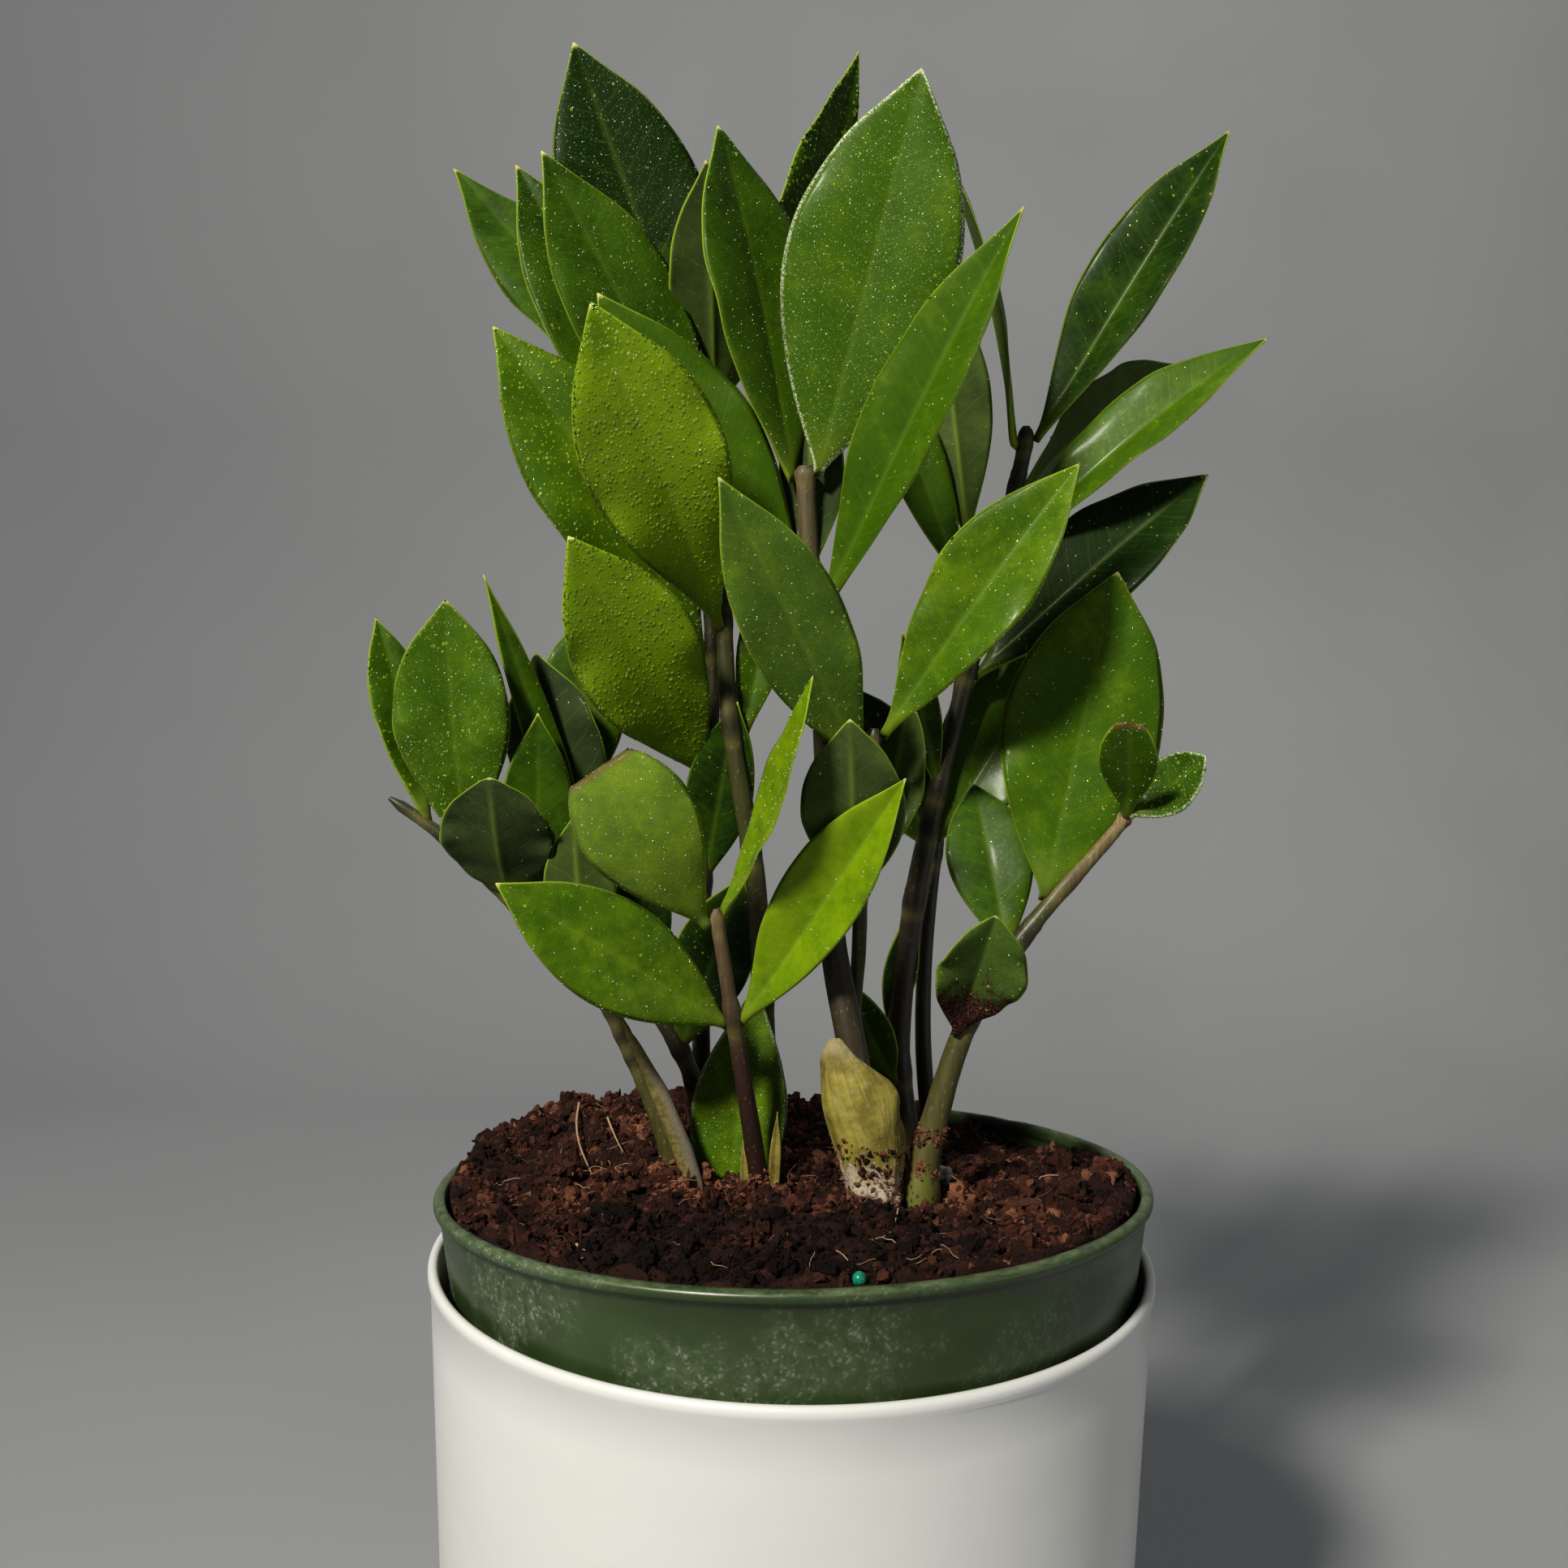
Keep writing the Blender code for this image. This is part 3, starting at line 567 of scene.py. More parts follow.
def leaf_skin():
    """Waxy green with pale veins, a thin yellow-green margin and a duller underside, with painted white
    sparkles and painted glints along wet edges.
    """
    b = Finish("waxy_leaf", Coat_Weight=0.05, Coat_Roughness=0.14, Specular_IOR_Level=0.17)
    tone, under, along = b.field("tone"), b.field("under"), b.field("along")
    side, margin, length = b.field("side_mm"), b.field("margin_mm"), b.field("along_mm")
    mist, dust = b.field("mist"), b.field("dust")
    mottle = b.grain(b.where, 0.09, 3.0, 0.6)
    blotch = b.grain(b.where, 0.4, 4.0, 0.65)
    pores = b.grain(b.where, 2.6, 2.0, 0.6)
    from_rib = abs(side)
    phase = length / VEIN_STEP - from_rib * 0.1 - from_rib * from_rib * 0.002 + mottle * 0.5
    vein = abs(phase.fraction() - 0.5).fade(0.05, 0.0) * from_rib.fade(0.3, 2.0) * margin.fade(0.3, 2.5)
    fine_vein = abs((phase * 3.0 + side * 0.06).fraction() - 0.5).fade(0.16, 0.0)
    rib = side.hump(0.62) * along.fade(1.02, 0.7)
    light = tone + (mottle - 0.5) * 0.6 + (blotch - 0.5) * 0.4
    face = b.painted(
        b.mix(light.fade(0.0, 0.5), (0.0095, 0.0300, 0.0015), (0.0540, 0.1180, 0.0022)),
        (light.fade(0.45, 1.0), (0.2000, 0.3100, 0.0040)),
        (vein * 0.09 + fine_vein * 0.03, (0.20, 0.34, 0.03)),
        (pores.fade(0.62, 0.75) * 0.10, (0.22, 0.34, 0.03)),
    )
    back = b.painted(
        b.mix(light.fade(-0.1, 0.9), (0.024, 0.040, 0.013), (0.105, 0.165, 0.025)),
        (vein * 0.14, (0.18, 0.26, 0.08)),
    )
    # Painted highlights: white sparkles where the mist lies, and glints along the wet edges.
    painted_sparkles = b.spots(b.where, 1.9).fade(0.2, 0.08) * mist.least(1.0)
    painted_edge_glint = margin.fade(1.0, 0.3) * mist.fade(0.45, 0.9) * pores.fade(0.42, 0.56)
    dirt = dust.fade(0.85, 1.0) * (along + (blotch - 0.5) * 0.9).fade(0.42, 0.16)
    colour = b.painted(
        b.mix(under, face, back),
        (rib * (0.16 + under * 0.26), (0.21, 0.31, 0.035)),
        (margin.fade(0.5, 0.1) * 0.75, (0.34, 0.46, 0.025)),
        (along.fade(0.12, 0.0) * 0.45, (0.16, 0.22, 0.02)),
        (along.fade(-0.005, -0.05) * 0.5, (0.09, 0.075, 0.02)),
        (along.fade(0.98, 0.998), (0.62, 0.58, 0.22)),
        (b.field("scar") * 0.9, (0.16, 0.09, 0.03)),
        (painted_sparkles * 0.8 * (1.0 - under * 0.6), (0.54, 0.68, 0.34)),
        (painted_edge_glint, (0.72, 0.80, 0.58)),
        (dust * pores.fade(0.36, 0.62) * 0.55, (0.105, 0.130, 0.060)),
        (dirt, b.mix(pores.fade(0.45, 0.6), (0.012, 0.007, 0.006), (0.13, 0.05, 0.035))),
    )
    shine = b.spots(b.where, 0.9).fade(0.2, 0.5)
    rough = 0.30 + mottle * 0.2 + under * 0.2 + shine * 0.08 + dust * 0.3 - painted_sparkles * 0.2
    height = vein * -0.1 + fine_vein * -0.05 + blotch * 0.5 + pores * 0.3
    return b.done(colour, rough, height, 0.35, 0.35 * MM)


def leaf_tree(skin):
    """One leaf in millimetres: along +X from its foot, its upper side up."""
    b = Growth("leaf_blade", (
        ("Length", 60.0), ("Width", 25.0), ("Fold", 0.2), ("Arch", 2.0), ("Kept", 1.0),
        ("Wave", 0.5), ("Phase", 0.0), ("Widest", USUAL_WIDEST), ("Tone", 0.4),
        ("Drops", 0.1), ("Mist", 0.1), ("Dust", 0.0), ("Deep Tip", 0.0), ("Stalk", STALK),
    ), takes_mesh=False)
    length, width, fold, kept = (b.given[label] for label in ("Length", "Width", "Fold", "Kept"))
    sheet = b.add("GeometryNodeMeshGrid", None, {
        "Size X": 1.0, "Size Y": 2.0, "Vertices X": LEAF_ROWS, "Vertices Y": LEAF_COLUMNS,
    })
    row, column, _ = b.split(b.place())
    stalk = b.given["Stalk"] / length
    along = (row + 0.5) * (kept + stalk) - stalk
    blade = along.most(0.0)
    to_tip = 1.0 - blade
    away = abs(column) ** 1.3
    side = column.sign() * away

    # Outline
    slender = 1.1 - width / length * 0.55
    opening = ((along + stalk * 0.65) / (1.0 + stalk * 0.65)).most(0.0)
    bulge = (opening ** b.given["Widest"] * math.pi).sin().most(0.0) ** slender
    bulge = bulge * blade.fade(0.8, 1.0, 1.0, 0.8)
    stalk_half = STALK_HALF * to_tip.most(0.12)
    half = (stalk_half * stalk_half + (width * 0.5 * bulge) ** 2.0).root()

    # Fold, cup, wave and arch
    opened = ((blade / OPENS_BY).least(1.0) * (math.pi / 2)).sin()
    across = side * half * fold.cos()
    cupped = (away * away + 0.006).root() - 0.0775
    raised = half * fold.sin() * opened * cupped - away ** 4.0 * half * opened * 0.07
    ripple = ((along * 15.0 + b.given["Phase"] + side * 1.3).sin()
              + (along * 31.0 - b.given["Phase"] * 2.0 - side).sin() * 0.35)
    wave = b.given["Wave"] * away ** 2.5 * ripple * (blade * math.pi).sin()
    middle = b.given["Arch"] * blade * to_tip * 4.0 + raised + wave

    # Thickness, with a groove above the rib and a ridge under it
    left = (kept - along) * length
    shut = ((left / 1.2).least(1.0).most(0.0) * ((along + stalk) * length / 0.4).least(1.0).most(0.0)) ** 0.5
    rounded = (1.0 - away ** along.fade(0.0, 0.2, 2.0, 7.0)).most(0.0) ** 0.5
    skin_half = along.fade(0.2, -0.02, 0.24, 1.0) * rounded * shut
    near_rib = across.hump(0.8)
    groove = near_rib * opened * 0.2 * to_tip.most(0.0)
    ridge = near_rib * 0.6 * to_tip.most(0.0) ** 0.7 * opened * shut * rounded

    for name, value in {
        "along": along, "along_mm": along * length, "side_mm": across,
        # The tone falls towards the tip: painted shade over the tip.
        "tone": b.given["Tone"] - b.given["Deep Tip"] * (along - 0.4),
        "margin_mm": ((1.0 - away) * half).least(left + 0.4),
        "scar": kept.fade(0.97, 0.95) * left.fade(1.6, 0.5),
        "drops": b.given["Drops"], "mist": b.given["Mist"], "dust": b.given["Dust"],
    }.items():
        sheet = b.keep(sheet, name, value)
    sides = []
    for under in (0.0, 1.0):
        half_leaf = b.keep(sheet, "under", under)
        if under:
            half_leaf = b.add("GeometryNodeFlipFaces", None, {"Mesh": half_leaf})
        level = middle - skin_half - ridge if under else middle + skin_half - groove
        spot = b.vector(along * length, across, level)
        sides.append(b.add("GeometryNodeSetPosition", None, {"Geometry": half_leaf, "Position": spot}))
    closed = b.add("GeometryNodeMergeByDistance", None, {"Geometry": b.joined(sides), "Distance": 0.004})
    return b.done(closed, skin)


def leaf_values(label, length, width, fold, arch):
    number = sum(map(ord, label))
    return {
        "Length": length, "Width": width, "Fold": fold, "Arch": arch,
        "Wave": width * (0.012 + 0.0022 * (number % 17)), "Phase": float(number % 13),
        "Kept": BROKEN_TIPS.get(label, 1.0), "Widest": BROAD_ABOVE.get(label, USUAL_WIDEST),
        "Tone": LEAF_TONE_AND_SHADE.get(label, USUAL_TONE), "Deep Tip": SHADED_TIP.get(label, 0.0),
        "Drops": LEAF_DROPS.get(label, USUAL_DROPS), "Mist": LEAF_MIST.get(label, USUAL_MIST),
        "Dust": LEAF_DUST.get(label, 0.0),
    }


def stand(foot, forward, upper):
    """The matrix that puts a leaf made in millimetres at its place."""
    forward = Vector(forward).normalized()
    upper = Vector(upper)
    upper = (upper - forward * upper.dot(forward)).normalized()
    turned = Matrix((forward, upper.cross(forward), upper)).transposed().to_4x4()
    return Matrix.Translation(Vector(foot)) @ turned @ Matrix.Scale(MM, 4)


def direction(heading, rise):
    turn, slope = math.radians(heading), math.radians(rise)
    return Vector((math.cos(turn) * math.cos(slope), math.sin(turn) * math.cos(slope), math.sin(slope)))


def make_leaves(tree, spines, rim_height):
    """Every leaf in its place. Returns the leaves of each stem and the heights of their feet."""
    leaves, joints = {stem: [] for stem in STEMS}, {stem: [] for stem in STEMS}

    def add_leaf(stem, label, values, foot, forward, upper, replaces=()):
        name = "foliage_" + label
        mesh = grown(name, tree, values, place=stand(foot, forward, upper))
        leaves[stem].append(add_piece(name, mesh, replaces))

    for stem in STEMS:
        for node in sorted(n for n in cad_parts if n.rsplit("_", 1)[0] == "leaf_" + stem):
            label = node[len("leaf_"):]
            form = leaf_form(node, spines[stem])
            values = leaf_values(label, form["length"], form["width"], form["fold"], form["arch"])
            centre, _ = spine_at(spines[stem], form["foot"][2])
            values["Stalk"] = max(1.5, np.linalg.norm(form["foot"] - centre) / MM - 0.3)
            add_leaf(stem, label, values, form["foot"], form["forward"], form["upper"], [node])
            joints[stem].append(form["foot"][2])
    for number, inner_leaf in enumerate(INNER_LEAVES, start=1):
        stem, height, heading, rise, length, width, faces, slope = inner_leaf
        label = f"inner_{number}"
        forward = direction(heading, rise)
        centre, radius = spine_at(spines[stem], rim_height + height * MM)
        values = leaf_values(label, length, width, 0.2, 1.0)
        values["Tone"] = INNER_SHADE_TONE
        foot = Vector(centre) + forward * (radius + 0.5 * MM)
        add_leaf(stem, label, values, foot, forward, direction(faces, slope))
        joints[stem].append(centre[2])
    return leaves, joints


# ---- dew -------------------------------------------------------------------------------------------


def dew_finish():
    """Glossy beads, some of them painted near white as a painted highlight."""
    b = Finish("dew_drop", IOR=1.33, Coat_Weight=0.6, Coat_Roughness=0.02)
    shade = b.grain(b.where, 0.5, 2.0)
    colour = b.painted(
        b.mix(shade.fade(0.3, 0.7), (0.120, 0.205, 0.006), (0.24, 0.34, 0.02)),
        # Painted highlight: some beads are painted near white.
        (b.field("glint").fade(0.55, 0.85) * 0.9, (0.86, 0.92, 0.74)),
    )
    return b.done(colour, 0.04 + shade * 0.05)


def dew_tree(water):
    """Full drops and fine mist over the leaves, fewer of them underneath."""
    b = Growth("dew", (("Drop", 0.42), ("Mist", 0.17), ("Seed", 3)))
    wet = b.field("under").fade(0.4, 0.6, 1.0, 0.25) * b.field("along").fade(0.0, 0.06) * PER_SQUARE_MM
    wet = wet * b.field("margin_mm").fade(1.6, 0.3, 1.0, 3.0)
    kinds = []
    for fine, (name, size) in enumerate((("drops", b.given["Drop"]), ("mist", b.given["Mist"]))):
        points = b.strewn(b.field(name) * wet, b.given["Seed"] + 40.0 * fine)
        radius = size * (0.4 + 0.6 * b.chance(5 + fine) ** 2.0)
        facets = {"Segments": 6 - fine, "Rings": 4 - fine, "Radius": MM}
        ball = b.add("GeometryNodeMeshUVSphere", None, facets)
        sizes = radius, radius * 1.2, radius * (0.24 + 0.3 * fine)
        beads = b.copies(points, ball, points.out("Rotation"), sizes)
        # Picks which beads get the painted white highlight.
        kinds.append(b.keep(beads, "glint", b.chance(21 + fine, 0.0, 0.62 + 0.6 * fine), "INSTANCE"))
    return b.done(b.joined(kinds), water, realize=True)


def joined_mesh(name, meshes, labels):
    """Several meshes in one, with these fields."""
    points, faces, fields = [], [], {label: [] for label in labels}
    count = 0
    for mesh in meshes:
        points.append(spots_of(mesh))
        faces += [tuple(count + v for v in face.vertices) for face in mesh.polygons]
        for label, found in fields.items():
            values = np.zeros(len(mesh.vertices), np.float32)
            if label in mesh.attributes:
                mesh.attributes[label].data.foreach_get("value", values)
            found.append(values)
        count += len(mesh.vertices)
    fields = {label: np.concatenate(found) for label, found in fields.items()}
    return mesh_of(name, np.concatenate(points), faces, None, fields)


def make_dew(leaves, tree):
    labels = ("drops", "mist", "under", "along", "margin_mm")
    for number, stem in enumerate(STEMS):
        seed = joined_mesh("wet_" + stem, [leaf.data for leaf in leaves[stem]], labels)
        add_piece("dew_" + stem, grown("dew_" + stem, tree, {"Seed": 11 + number}, seed))


# ---- stems -----------------------------------------------------------------------------------------


def stem_skin(name, low, high, dusk, speck):
    """Smooth bark that goes from one colour at the soil to another above, ringed at the joints."""
    b = Finish(name, Coat_Weight=0.08, Coat_Roughness=0.25)
    age = b.field("age")
    streaks = b.grain(b.stretched(b.where, (1.4, 1.4, 0.12)), 1.0, 3.0)
    patches = b.grain(b.where, 0.12, 3.0)
    dots = b.spots(b.stretched(b.where, (1.0, 1.0, 0.6)), 0.8)
    colour = b.painted(
        b.mix((b.field("up") + (patches - 0.5) * 0.5).fade(0.0, 0.8), low, high),
        (streaks.fade(0.35, 0.75) * 0.45, dusk),
        (dots.fade(0.3, 0.12) * 0.45, speck),
        (b.field("joint") * 0.7, (0.020, 0.015, 0.008)),
        (b.field("collar") * 0.45, (0.20, 0.17, 0.05)),
        (age * 0.6, b.mix(streaks.fade(0.4, 0.65), (0.22, 0.15, 0.06), (0.34, 0.26, 0.13))),
        (b.field("bulb") * 0.85, b.mix(dots.fade(0.32, 0.2), (0.150, 0.160, 0.026), (0.05, 0.05, 0.015))),
        (b.field("stub"), b.mix(streaks.fade(0.4, 0.6), (0.06, 0.026, 0.012), (0.30, 0.20, 0.10))),
    )
    height = streaks * 0.5 + dots.fade(0.3, 0.1) * -0.4 + patches * 0.6
    return b.done(colour, 0.38 + streaks * 0.2 + age * 0.25, height, 0.35, 0.4 * MM)


def stem_tree(skin):
    b = Growth("stalk_" + skin.name, (("Sides", 22), ("Unevenness", 0.16)))
    line = b.add("GeometryNodeMeshToCurve", None, {"Mesh": b.given["Geometry"]})
    tube = b.tube(line, b.given["Sides"], b.field("thick"))
    lumps = b.grain(b.place(700.0, 700.0, 90.0), 0.35, 2.0) - 0.5
    coarser = 2.0 + b.field("stub") * 5.0 + b.field("bulb") * 1.5
    return b.done(b.swollen(tube, lumps * b.given["Unevenness"] * MM * coarser), skin)


def bell(off, width):
    """1 where off is 0, and falling away to both sides."""
    return np.exp(-(off / width) ** 2)


def stem_line(stem, spine, levels, rim_height):
    """A stem's middle line from its foot up, and its thickness and marks along it."""
    middles, radii = spine
    heights = np.arange(middles[0, 2] + 8 * MM, middles[-1, 2] - 0.6 * MM, 0.9 * MM)
    line = np.stack([np.interp(heights, middles[:, 2], middles[:, axis]) for axis in range(3)], 1)
    up = (heights - rim_height) / MM
    share = np.clip(up / ((middles[-1, 2] - rim_height) / MM), 0, 1)
    thick = np.interp(heights, middles[:, 2], radii)
    joint, collar, age, bulb, stub = (np.zeros(len(heights)) for _ in range(5))
    for level in levels:
        off = (heights - level) / MM
        thick += (0.28 * bell(off + 0.4, 2.2) + 0.16 * bell(off - 2.4, 0.5)) * MM
        joint = np.maximum(joint, bell(off - 0.2, 1.5))
        collar = np.maximum(collar, bell(off + 3.4, 1.2))
    for level in STEM_RINGS.get(stem, ()):
        joint = np.maximum(joint, np.exp(-((up - level) / 1.5) ** 4) * 0.95)
        collar = np.maximum(collar, bell(up - level + 3.2, 1.3))
        thick += 0.2 * MM * bell(up - level, 1.4)
    if stem in DRY_TOPS:
        start, reach, dryness = DRY_TOPS[stem]
        age = np.clip((share - start) / reach, 0, 1) * dryness
    if stem == "right_short":
        bulb = np.clip((8.5 - up) / 2.0, 0, 1)
        stub = np.clip((up - up[-1] + 3.2) / 1.2, 0, 1)
        thick += stub * 0.4 * MM
        thick += 0.9 * MM * bell(up + 1, 7)
        collar = np.maximum(collar, bell(up - 12, 6) * 0.5)
    thick[-2:] *= (0.85, 0.55)
    return line, {
        "thick": thick, "up": share, "joint": joint, "collar": collar, "age": age, "bulb": bulb, "stub": stub,
    }


def make_stems(spines, joints, rim_height, crumbs):
    trees = {slot: stem_tree(stem_skin(*bark)) for slot, bark in BARKS.items()}
    for stem in STEMS:
        slot = STEM_SLOTS.get(stem, "stem_dark")
        line, fields = stem_line(stem, spines[stem], joints[stem], rim_height)
        seed = bpy.data.meshes.new("line_" + stem)
        seed.from_pydata([tuple(p) for p in line], [(i, i + 1) for i in range(len(line) - 1)], [])
        keep_fields(seed, fields)
        unevenness = 0.3 if slot == "stem_green" else 0.18
        mesh = grown("stalk_" + stem, trees[slot], {"Unevenness": unevenness}, seed)
        add_piece("stalk_" + stem, mesh, ["stem_" + stem])
        if stem in SOILED:
            lowest, highest = SOILED[stem]
            up = (spots_of(mesh)[:, 2] - rim_height) / MM
            stick_crumbs("soil_on_" + stem, mesh, np.minimum(up - lowest, highest - up), crumbs, 1.8)


# ---- shoot and scale leaf --------------------------------------------------------------------------


def paper_skin():
    """A dry sheath: olive yellow, its veins running together at the hood, white and ragged at the soil."""
    b = Finish("dry_sheath", Specular_IOR_Level=0.3)
    height = b.field("up")
    veins = b.grain(b.vector(b.field("round_x"), b.field("round_y"), height * 0.28), 6.5, 4.0, 0.65)
    patch = b.grain(b.where, 0.16, 3.0, 0.6)
    fluff = b.grain(b.where, 0.7, 4.0, 0.7)
    ragged = height + (fluff - 0.5) * 0.8 + (patch - 0.5) * 0.35
    colour = b.painted(
        b.mix(patch.fade(0.35, 0.65), (0.190, 0.160, 0.030), (0.350, 0.300, 0.060)),
        (veins.fade(0.52, 0.66) * 0.5, (0.160, 0.120, 0.032)),
        (veins.fade(0.42, 0.3) * 0.5, (0.52, 0.46, 0.15)),
        ((height + (patch - 0.5) * 0.3).fade(0.80, 0.98) * 0.75, (0.42, 0.35, 0.20)),
        (fluff.fade(0.5, 0.65) * 0.4, (0.42, 0.35, 0.20)),
        (ragged.fade(0.27, 0.14) * 0.85, (0.56, 0.49, 0.40)),
        (ragged.fade(0.10, 0.02) * 0.8, (0.13, 0.055, 0.035)),
    )
    return b.done(colour, 0.5 + fluff * 0.25, veins * 1.2 + fluff * 0.5 + patch, 0.6, 0.5 * MM)


def shoot_skin():
    b = Finish("olive_shoot")
    streaks = b.grain(b.where, 0.9, 4.0, 0.7)
    patch = b.grain(b.where, 0.14, 3.0, 0.6)
    colour = b.painted(
        b.mix(streaks.fade(0.35, 0.65), (0.120, 0.100, 0.026), (0.235, 0.195, 0.070)),
        (b.field("veil"), (0.19, 0.165, 0.125)),
        (patch.fade(0.5, 0.75) * 0.6, (0.12, 0.085, 0.035)),
    )
    return b.done(colour, 0.45 + streaks * 0.2, streaks, 0.4, 0.4 * MM)


def make_scale_leaf(skin, crumbs):
    """The sheath round the middle stem, its CAD form smoothed, with a shoulder and a frayed foot."""
    shape = bmesh.new()
    shape.from_mesh(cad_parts["scale_leaf"].data)
    bmesh.ops.remove_doubles(shape, verts=shape.verts, dist=0.002 * MM)
    spine = spine_of("scale_leaf", 2.0)
    bmesh.ops.subdivide_edges(shape, edges=shape.edges, cuts=3, use_grid_fill=True, smooth=0.6)
    low = min(v.co.z for v in shape.verts)
    high = max(v.co.z for v in shape.verts)
    shape.normal_update()
    rounds = []
    for spot in shape.verts:
        share = (spot.co.z - low) / (high - low)
        middle, _ = spine_at(spine, spot.co.z)
        off = Vector((spot.co.x - middle[0], spot.co.y - middle[1]))
        way = off.normalized() if off.length > 1e-6 else Vector((1.0, 0.0))
        rounds.append(way)
        rib = noise.noise(Vector((way.x * 7, way.y * 7, share * 2)))
        lump = noise.noise(spot.co * 180)
        spot.co += spot.normal * (0.22 * rib + 0.35 * lump) * MM
        shoulder = math.exp(-((share - 0.74) / 0.17) ** 2) * max(0.0, way.x) ** 2
        spot.co.x += 3.2 * MM * shoulder
        if share < 0.3:
            tatter = abs(noise.noise(spot.co * 420)) + 0.6 * abs(noise.noise(spot.co * 1100))
            spot.co += spot.normal * (0.3 - share) * 4.5 * MM * (tatter - 0.15)
    mesh = filled(mesh_of("papery_sheath", [], [], skin), shape)
    heights = np.array([(v.co.z - low) / (high - low) for v in mesh.vertices])
    keep_fields(mesh, {"up": heights, "round_x": [r.x for r in rounds], "round_y": [r.y for r in rounds]})
    add_piece("papery_sheath", mesh, ["scale_leaf"])
    stick_crumbs("soil_on_sheath", mesh, (0.36 - heights) * 12, crumbs, 0.9)


def stick_crumbs(name, mesh, reach, crumbs, density):
    """Soil that clings in patches to a piece, wherever reach is over 0."""
    seed = mesh.copy()
    patchy = np.array([noise.noise(v.co * 260) + 0.12 for v in seed.vertices])
    keep_fields(seed, {"edge_mm": np.where((reach > 0) & (patchy > 0), 5.0, 0.0)})
    values = {"Crumbs": density, "Smallest": 0.25, "Largest": 0.8, "Pale": 0.35, "Seed": 4}
    add_piece(name, grown(name, crumbs, values, seed))


def make_bracts(tree, spine, rim_height):
    """Two dry slips that stand at the foot of the front stem."""
    centre, radius = spine_at(spine, rim_height)
    for number, (side, back, length, width, lean) in enumerate(BRACTS, start=1):
        name = f"dry_bract_{number}"
        foot = Vector(centre) + Vector((side * (radius + 0.4 * MM), back * radius, -2.5 * MM))
        place = stand(foot, (math.cos(math.radians(lean)), -0.05, 1.0), (0, -1, 0))
        mesh = grown(name, tree, leaf_values(f"bract_{number}", length, width, 0.3, 0.6), place=place)
        count = len(mesh.vertices)
        keep_fields(mesh, {"up": np.full(count, 0.62), "round_x": np.zeros(count), "round_y": np.ones(count)})
        add_piece(name, mesh)


def make_shoot(skin):
    """The rolled young shoot, with its sheath's thin wing down one side."""
    middles, radii = spine_of("spear_shoot", 1.0)
    heights = np.linspace(middles[0, 2], middles[-1, 2], 60)
    steps = 20
    points, faces, veil = [], [], []
    for height in heights:
        centre, radius = spine_at((middles, radii), height)
        share = (height - heights[0]) / (heights[-1] - heights[0])
        point = radius * min(1.0, (1 - share) * 12 + 0.12)
        for step in range(steps):
            angle = math.tau * step / steps
            out = Vector((math.cos(angle), math.sin(angle) * 0.85, 0))
            spread = math.sin(math.pi * min(1, share * 1.05 + 0.02))
            wing = max(0.0, math.cos(angle + 0.6)) ** 5 * 1.5 * spread
            points.append(Vector(centre) + out * point * (0.86 + wing * 0.4))
            veil.append(min(1.0, wing * 0.9))
    for row in range(len(heights) - 1):
        for step in range(steps):
            a, c = row * steps + step, row * steps + (step + 1) % steps
            faces.append((a, c, c + steps, a + steps))
    faces.append(tuple(reversed(range(steps))))
    faces.append(tuple(range((len(heights) - 1) * steps, len(heights) * steps)))
    mesh = mesh_of("rolled_shoot", points, faces, skin, {"veil": veil})
    add_piece("rolled_shoot", mesh, ["spear_shoot"])


# ---- pots ------------------------------------------------------------------------------------------


POLE = 0.05 * MM  # a point of an outline that is closer to the axis than this lies on it


def pot_frame(node):
    """A turned node's axis as a matrix: +Z along it, the origin at the middle of its top."""
    points = points_of(node)
    middle = points.mean(0)
    values, ways = np.linalg.eigh(np.cov((points - middle).T))
    odd = max(range(3), key=lambda i: min(abs(values[i] - values[j]) for j in range(3) if j != i))
    axis = ways[:, odd] * np.sign(ways[2, odd])
    side = np.cross((0.0, 1.0, 0.0), axis)
    side /= np.linalg.norm(side)
    turned = np.stack([side, np.cross(axis, side), axis], 1)
    local = (points - middle) @ turned
    top = middle + axis * local[:, 2].max()
    ring = points[local[:, 2] > local[:, 2].max() - 0.02 * MM]
    if len(ring) > 12:
        top = ring.mean(0)
    matrix = Matrix([list(row) for row in turned]).to_4x4()
    matrix.translation = Vector(top)
    return matrix


def outline_of(node, matrix):
    """The half section of a turned CAD node, in order from the middle of its inside floor."""
    turn = np.array(matrix.to_3x3())
    flat = triangles_of(node).reshape(-1, 3) @ turn - np.array(matrix.translation) @ turn
    spots, index = np.unique(np.round(flat, 6), axis=0, return_inverse=True)
    radius = np.hypot(spots[:, 0], spots[:, 1])
    rim = spots[np.argmax(radius)]
    off = np.arctan2(spots[:, 1], spots[:, 0]) - math.atan2(rim[1], rim[0])
    off = np.abs((off + math.pi) % math.tau - math.pi)
    chosen = (off < 0.02) & (radius > POLE)
    chain = {}
    for a, b, c in index.reshape(-1, 3):
        for p, q in ((a, b), (b, c), (c, a)):
            if chosen[p] and chosen[q]:
                chain.setdefault(p, set()).add(q)
                chain.setdefault(q, set()).add(p)
    here = max((p for p in chain if len(chain[p]) == 1), key=lambda p: spots[p, 2])
    order = [here]
    while ahead := [q for q in chain[here] if q not in order]:
        here = min(ahead, key=lambda q: np.linalg.norm(spots[q] - spots[here]))
        order.append(here)
    section = [(radius[p], spots[p, 2]) for p in order]
    return [(0.0, section[0][1]), *section, (0.0, section[-1][1])]


def finer(outline, spacing):
    """The outline with more points on its long stretches."""
    points = []
    for (r0, z0), (r1, z1) in zip(outline, outline[1:]):
        steps = max(1, int(math.hypot(r1 - r0, z1 - z0) / spacing))
        points += [(r0 + (r1 - r0) * i / steps, z0 + (z1 - z0) * i / steps) for i in range(steps)]
    return [*points, outline[-1]]


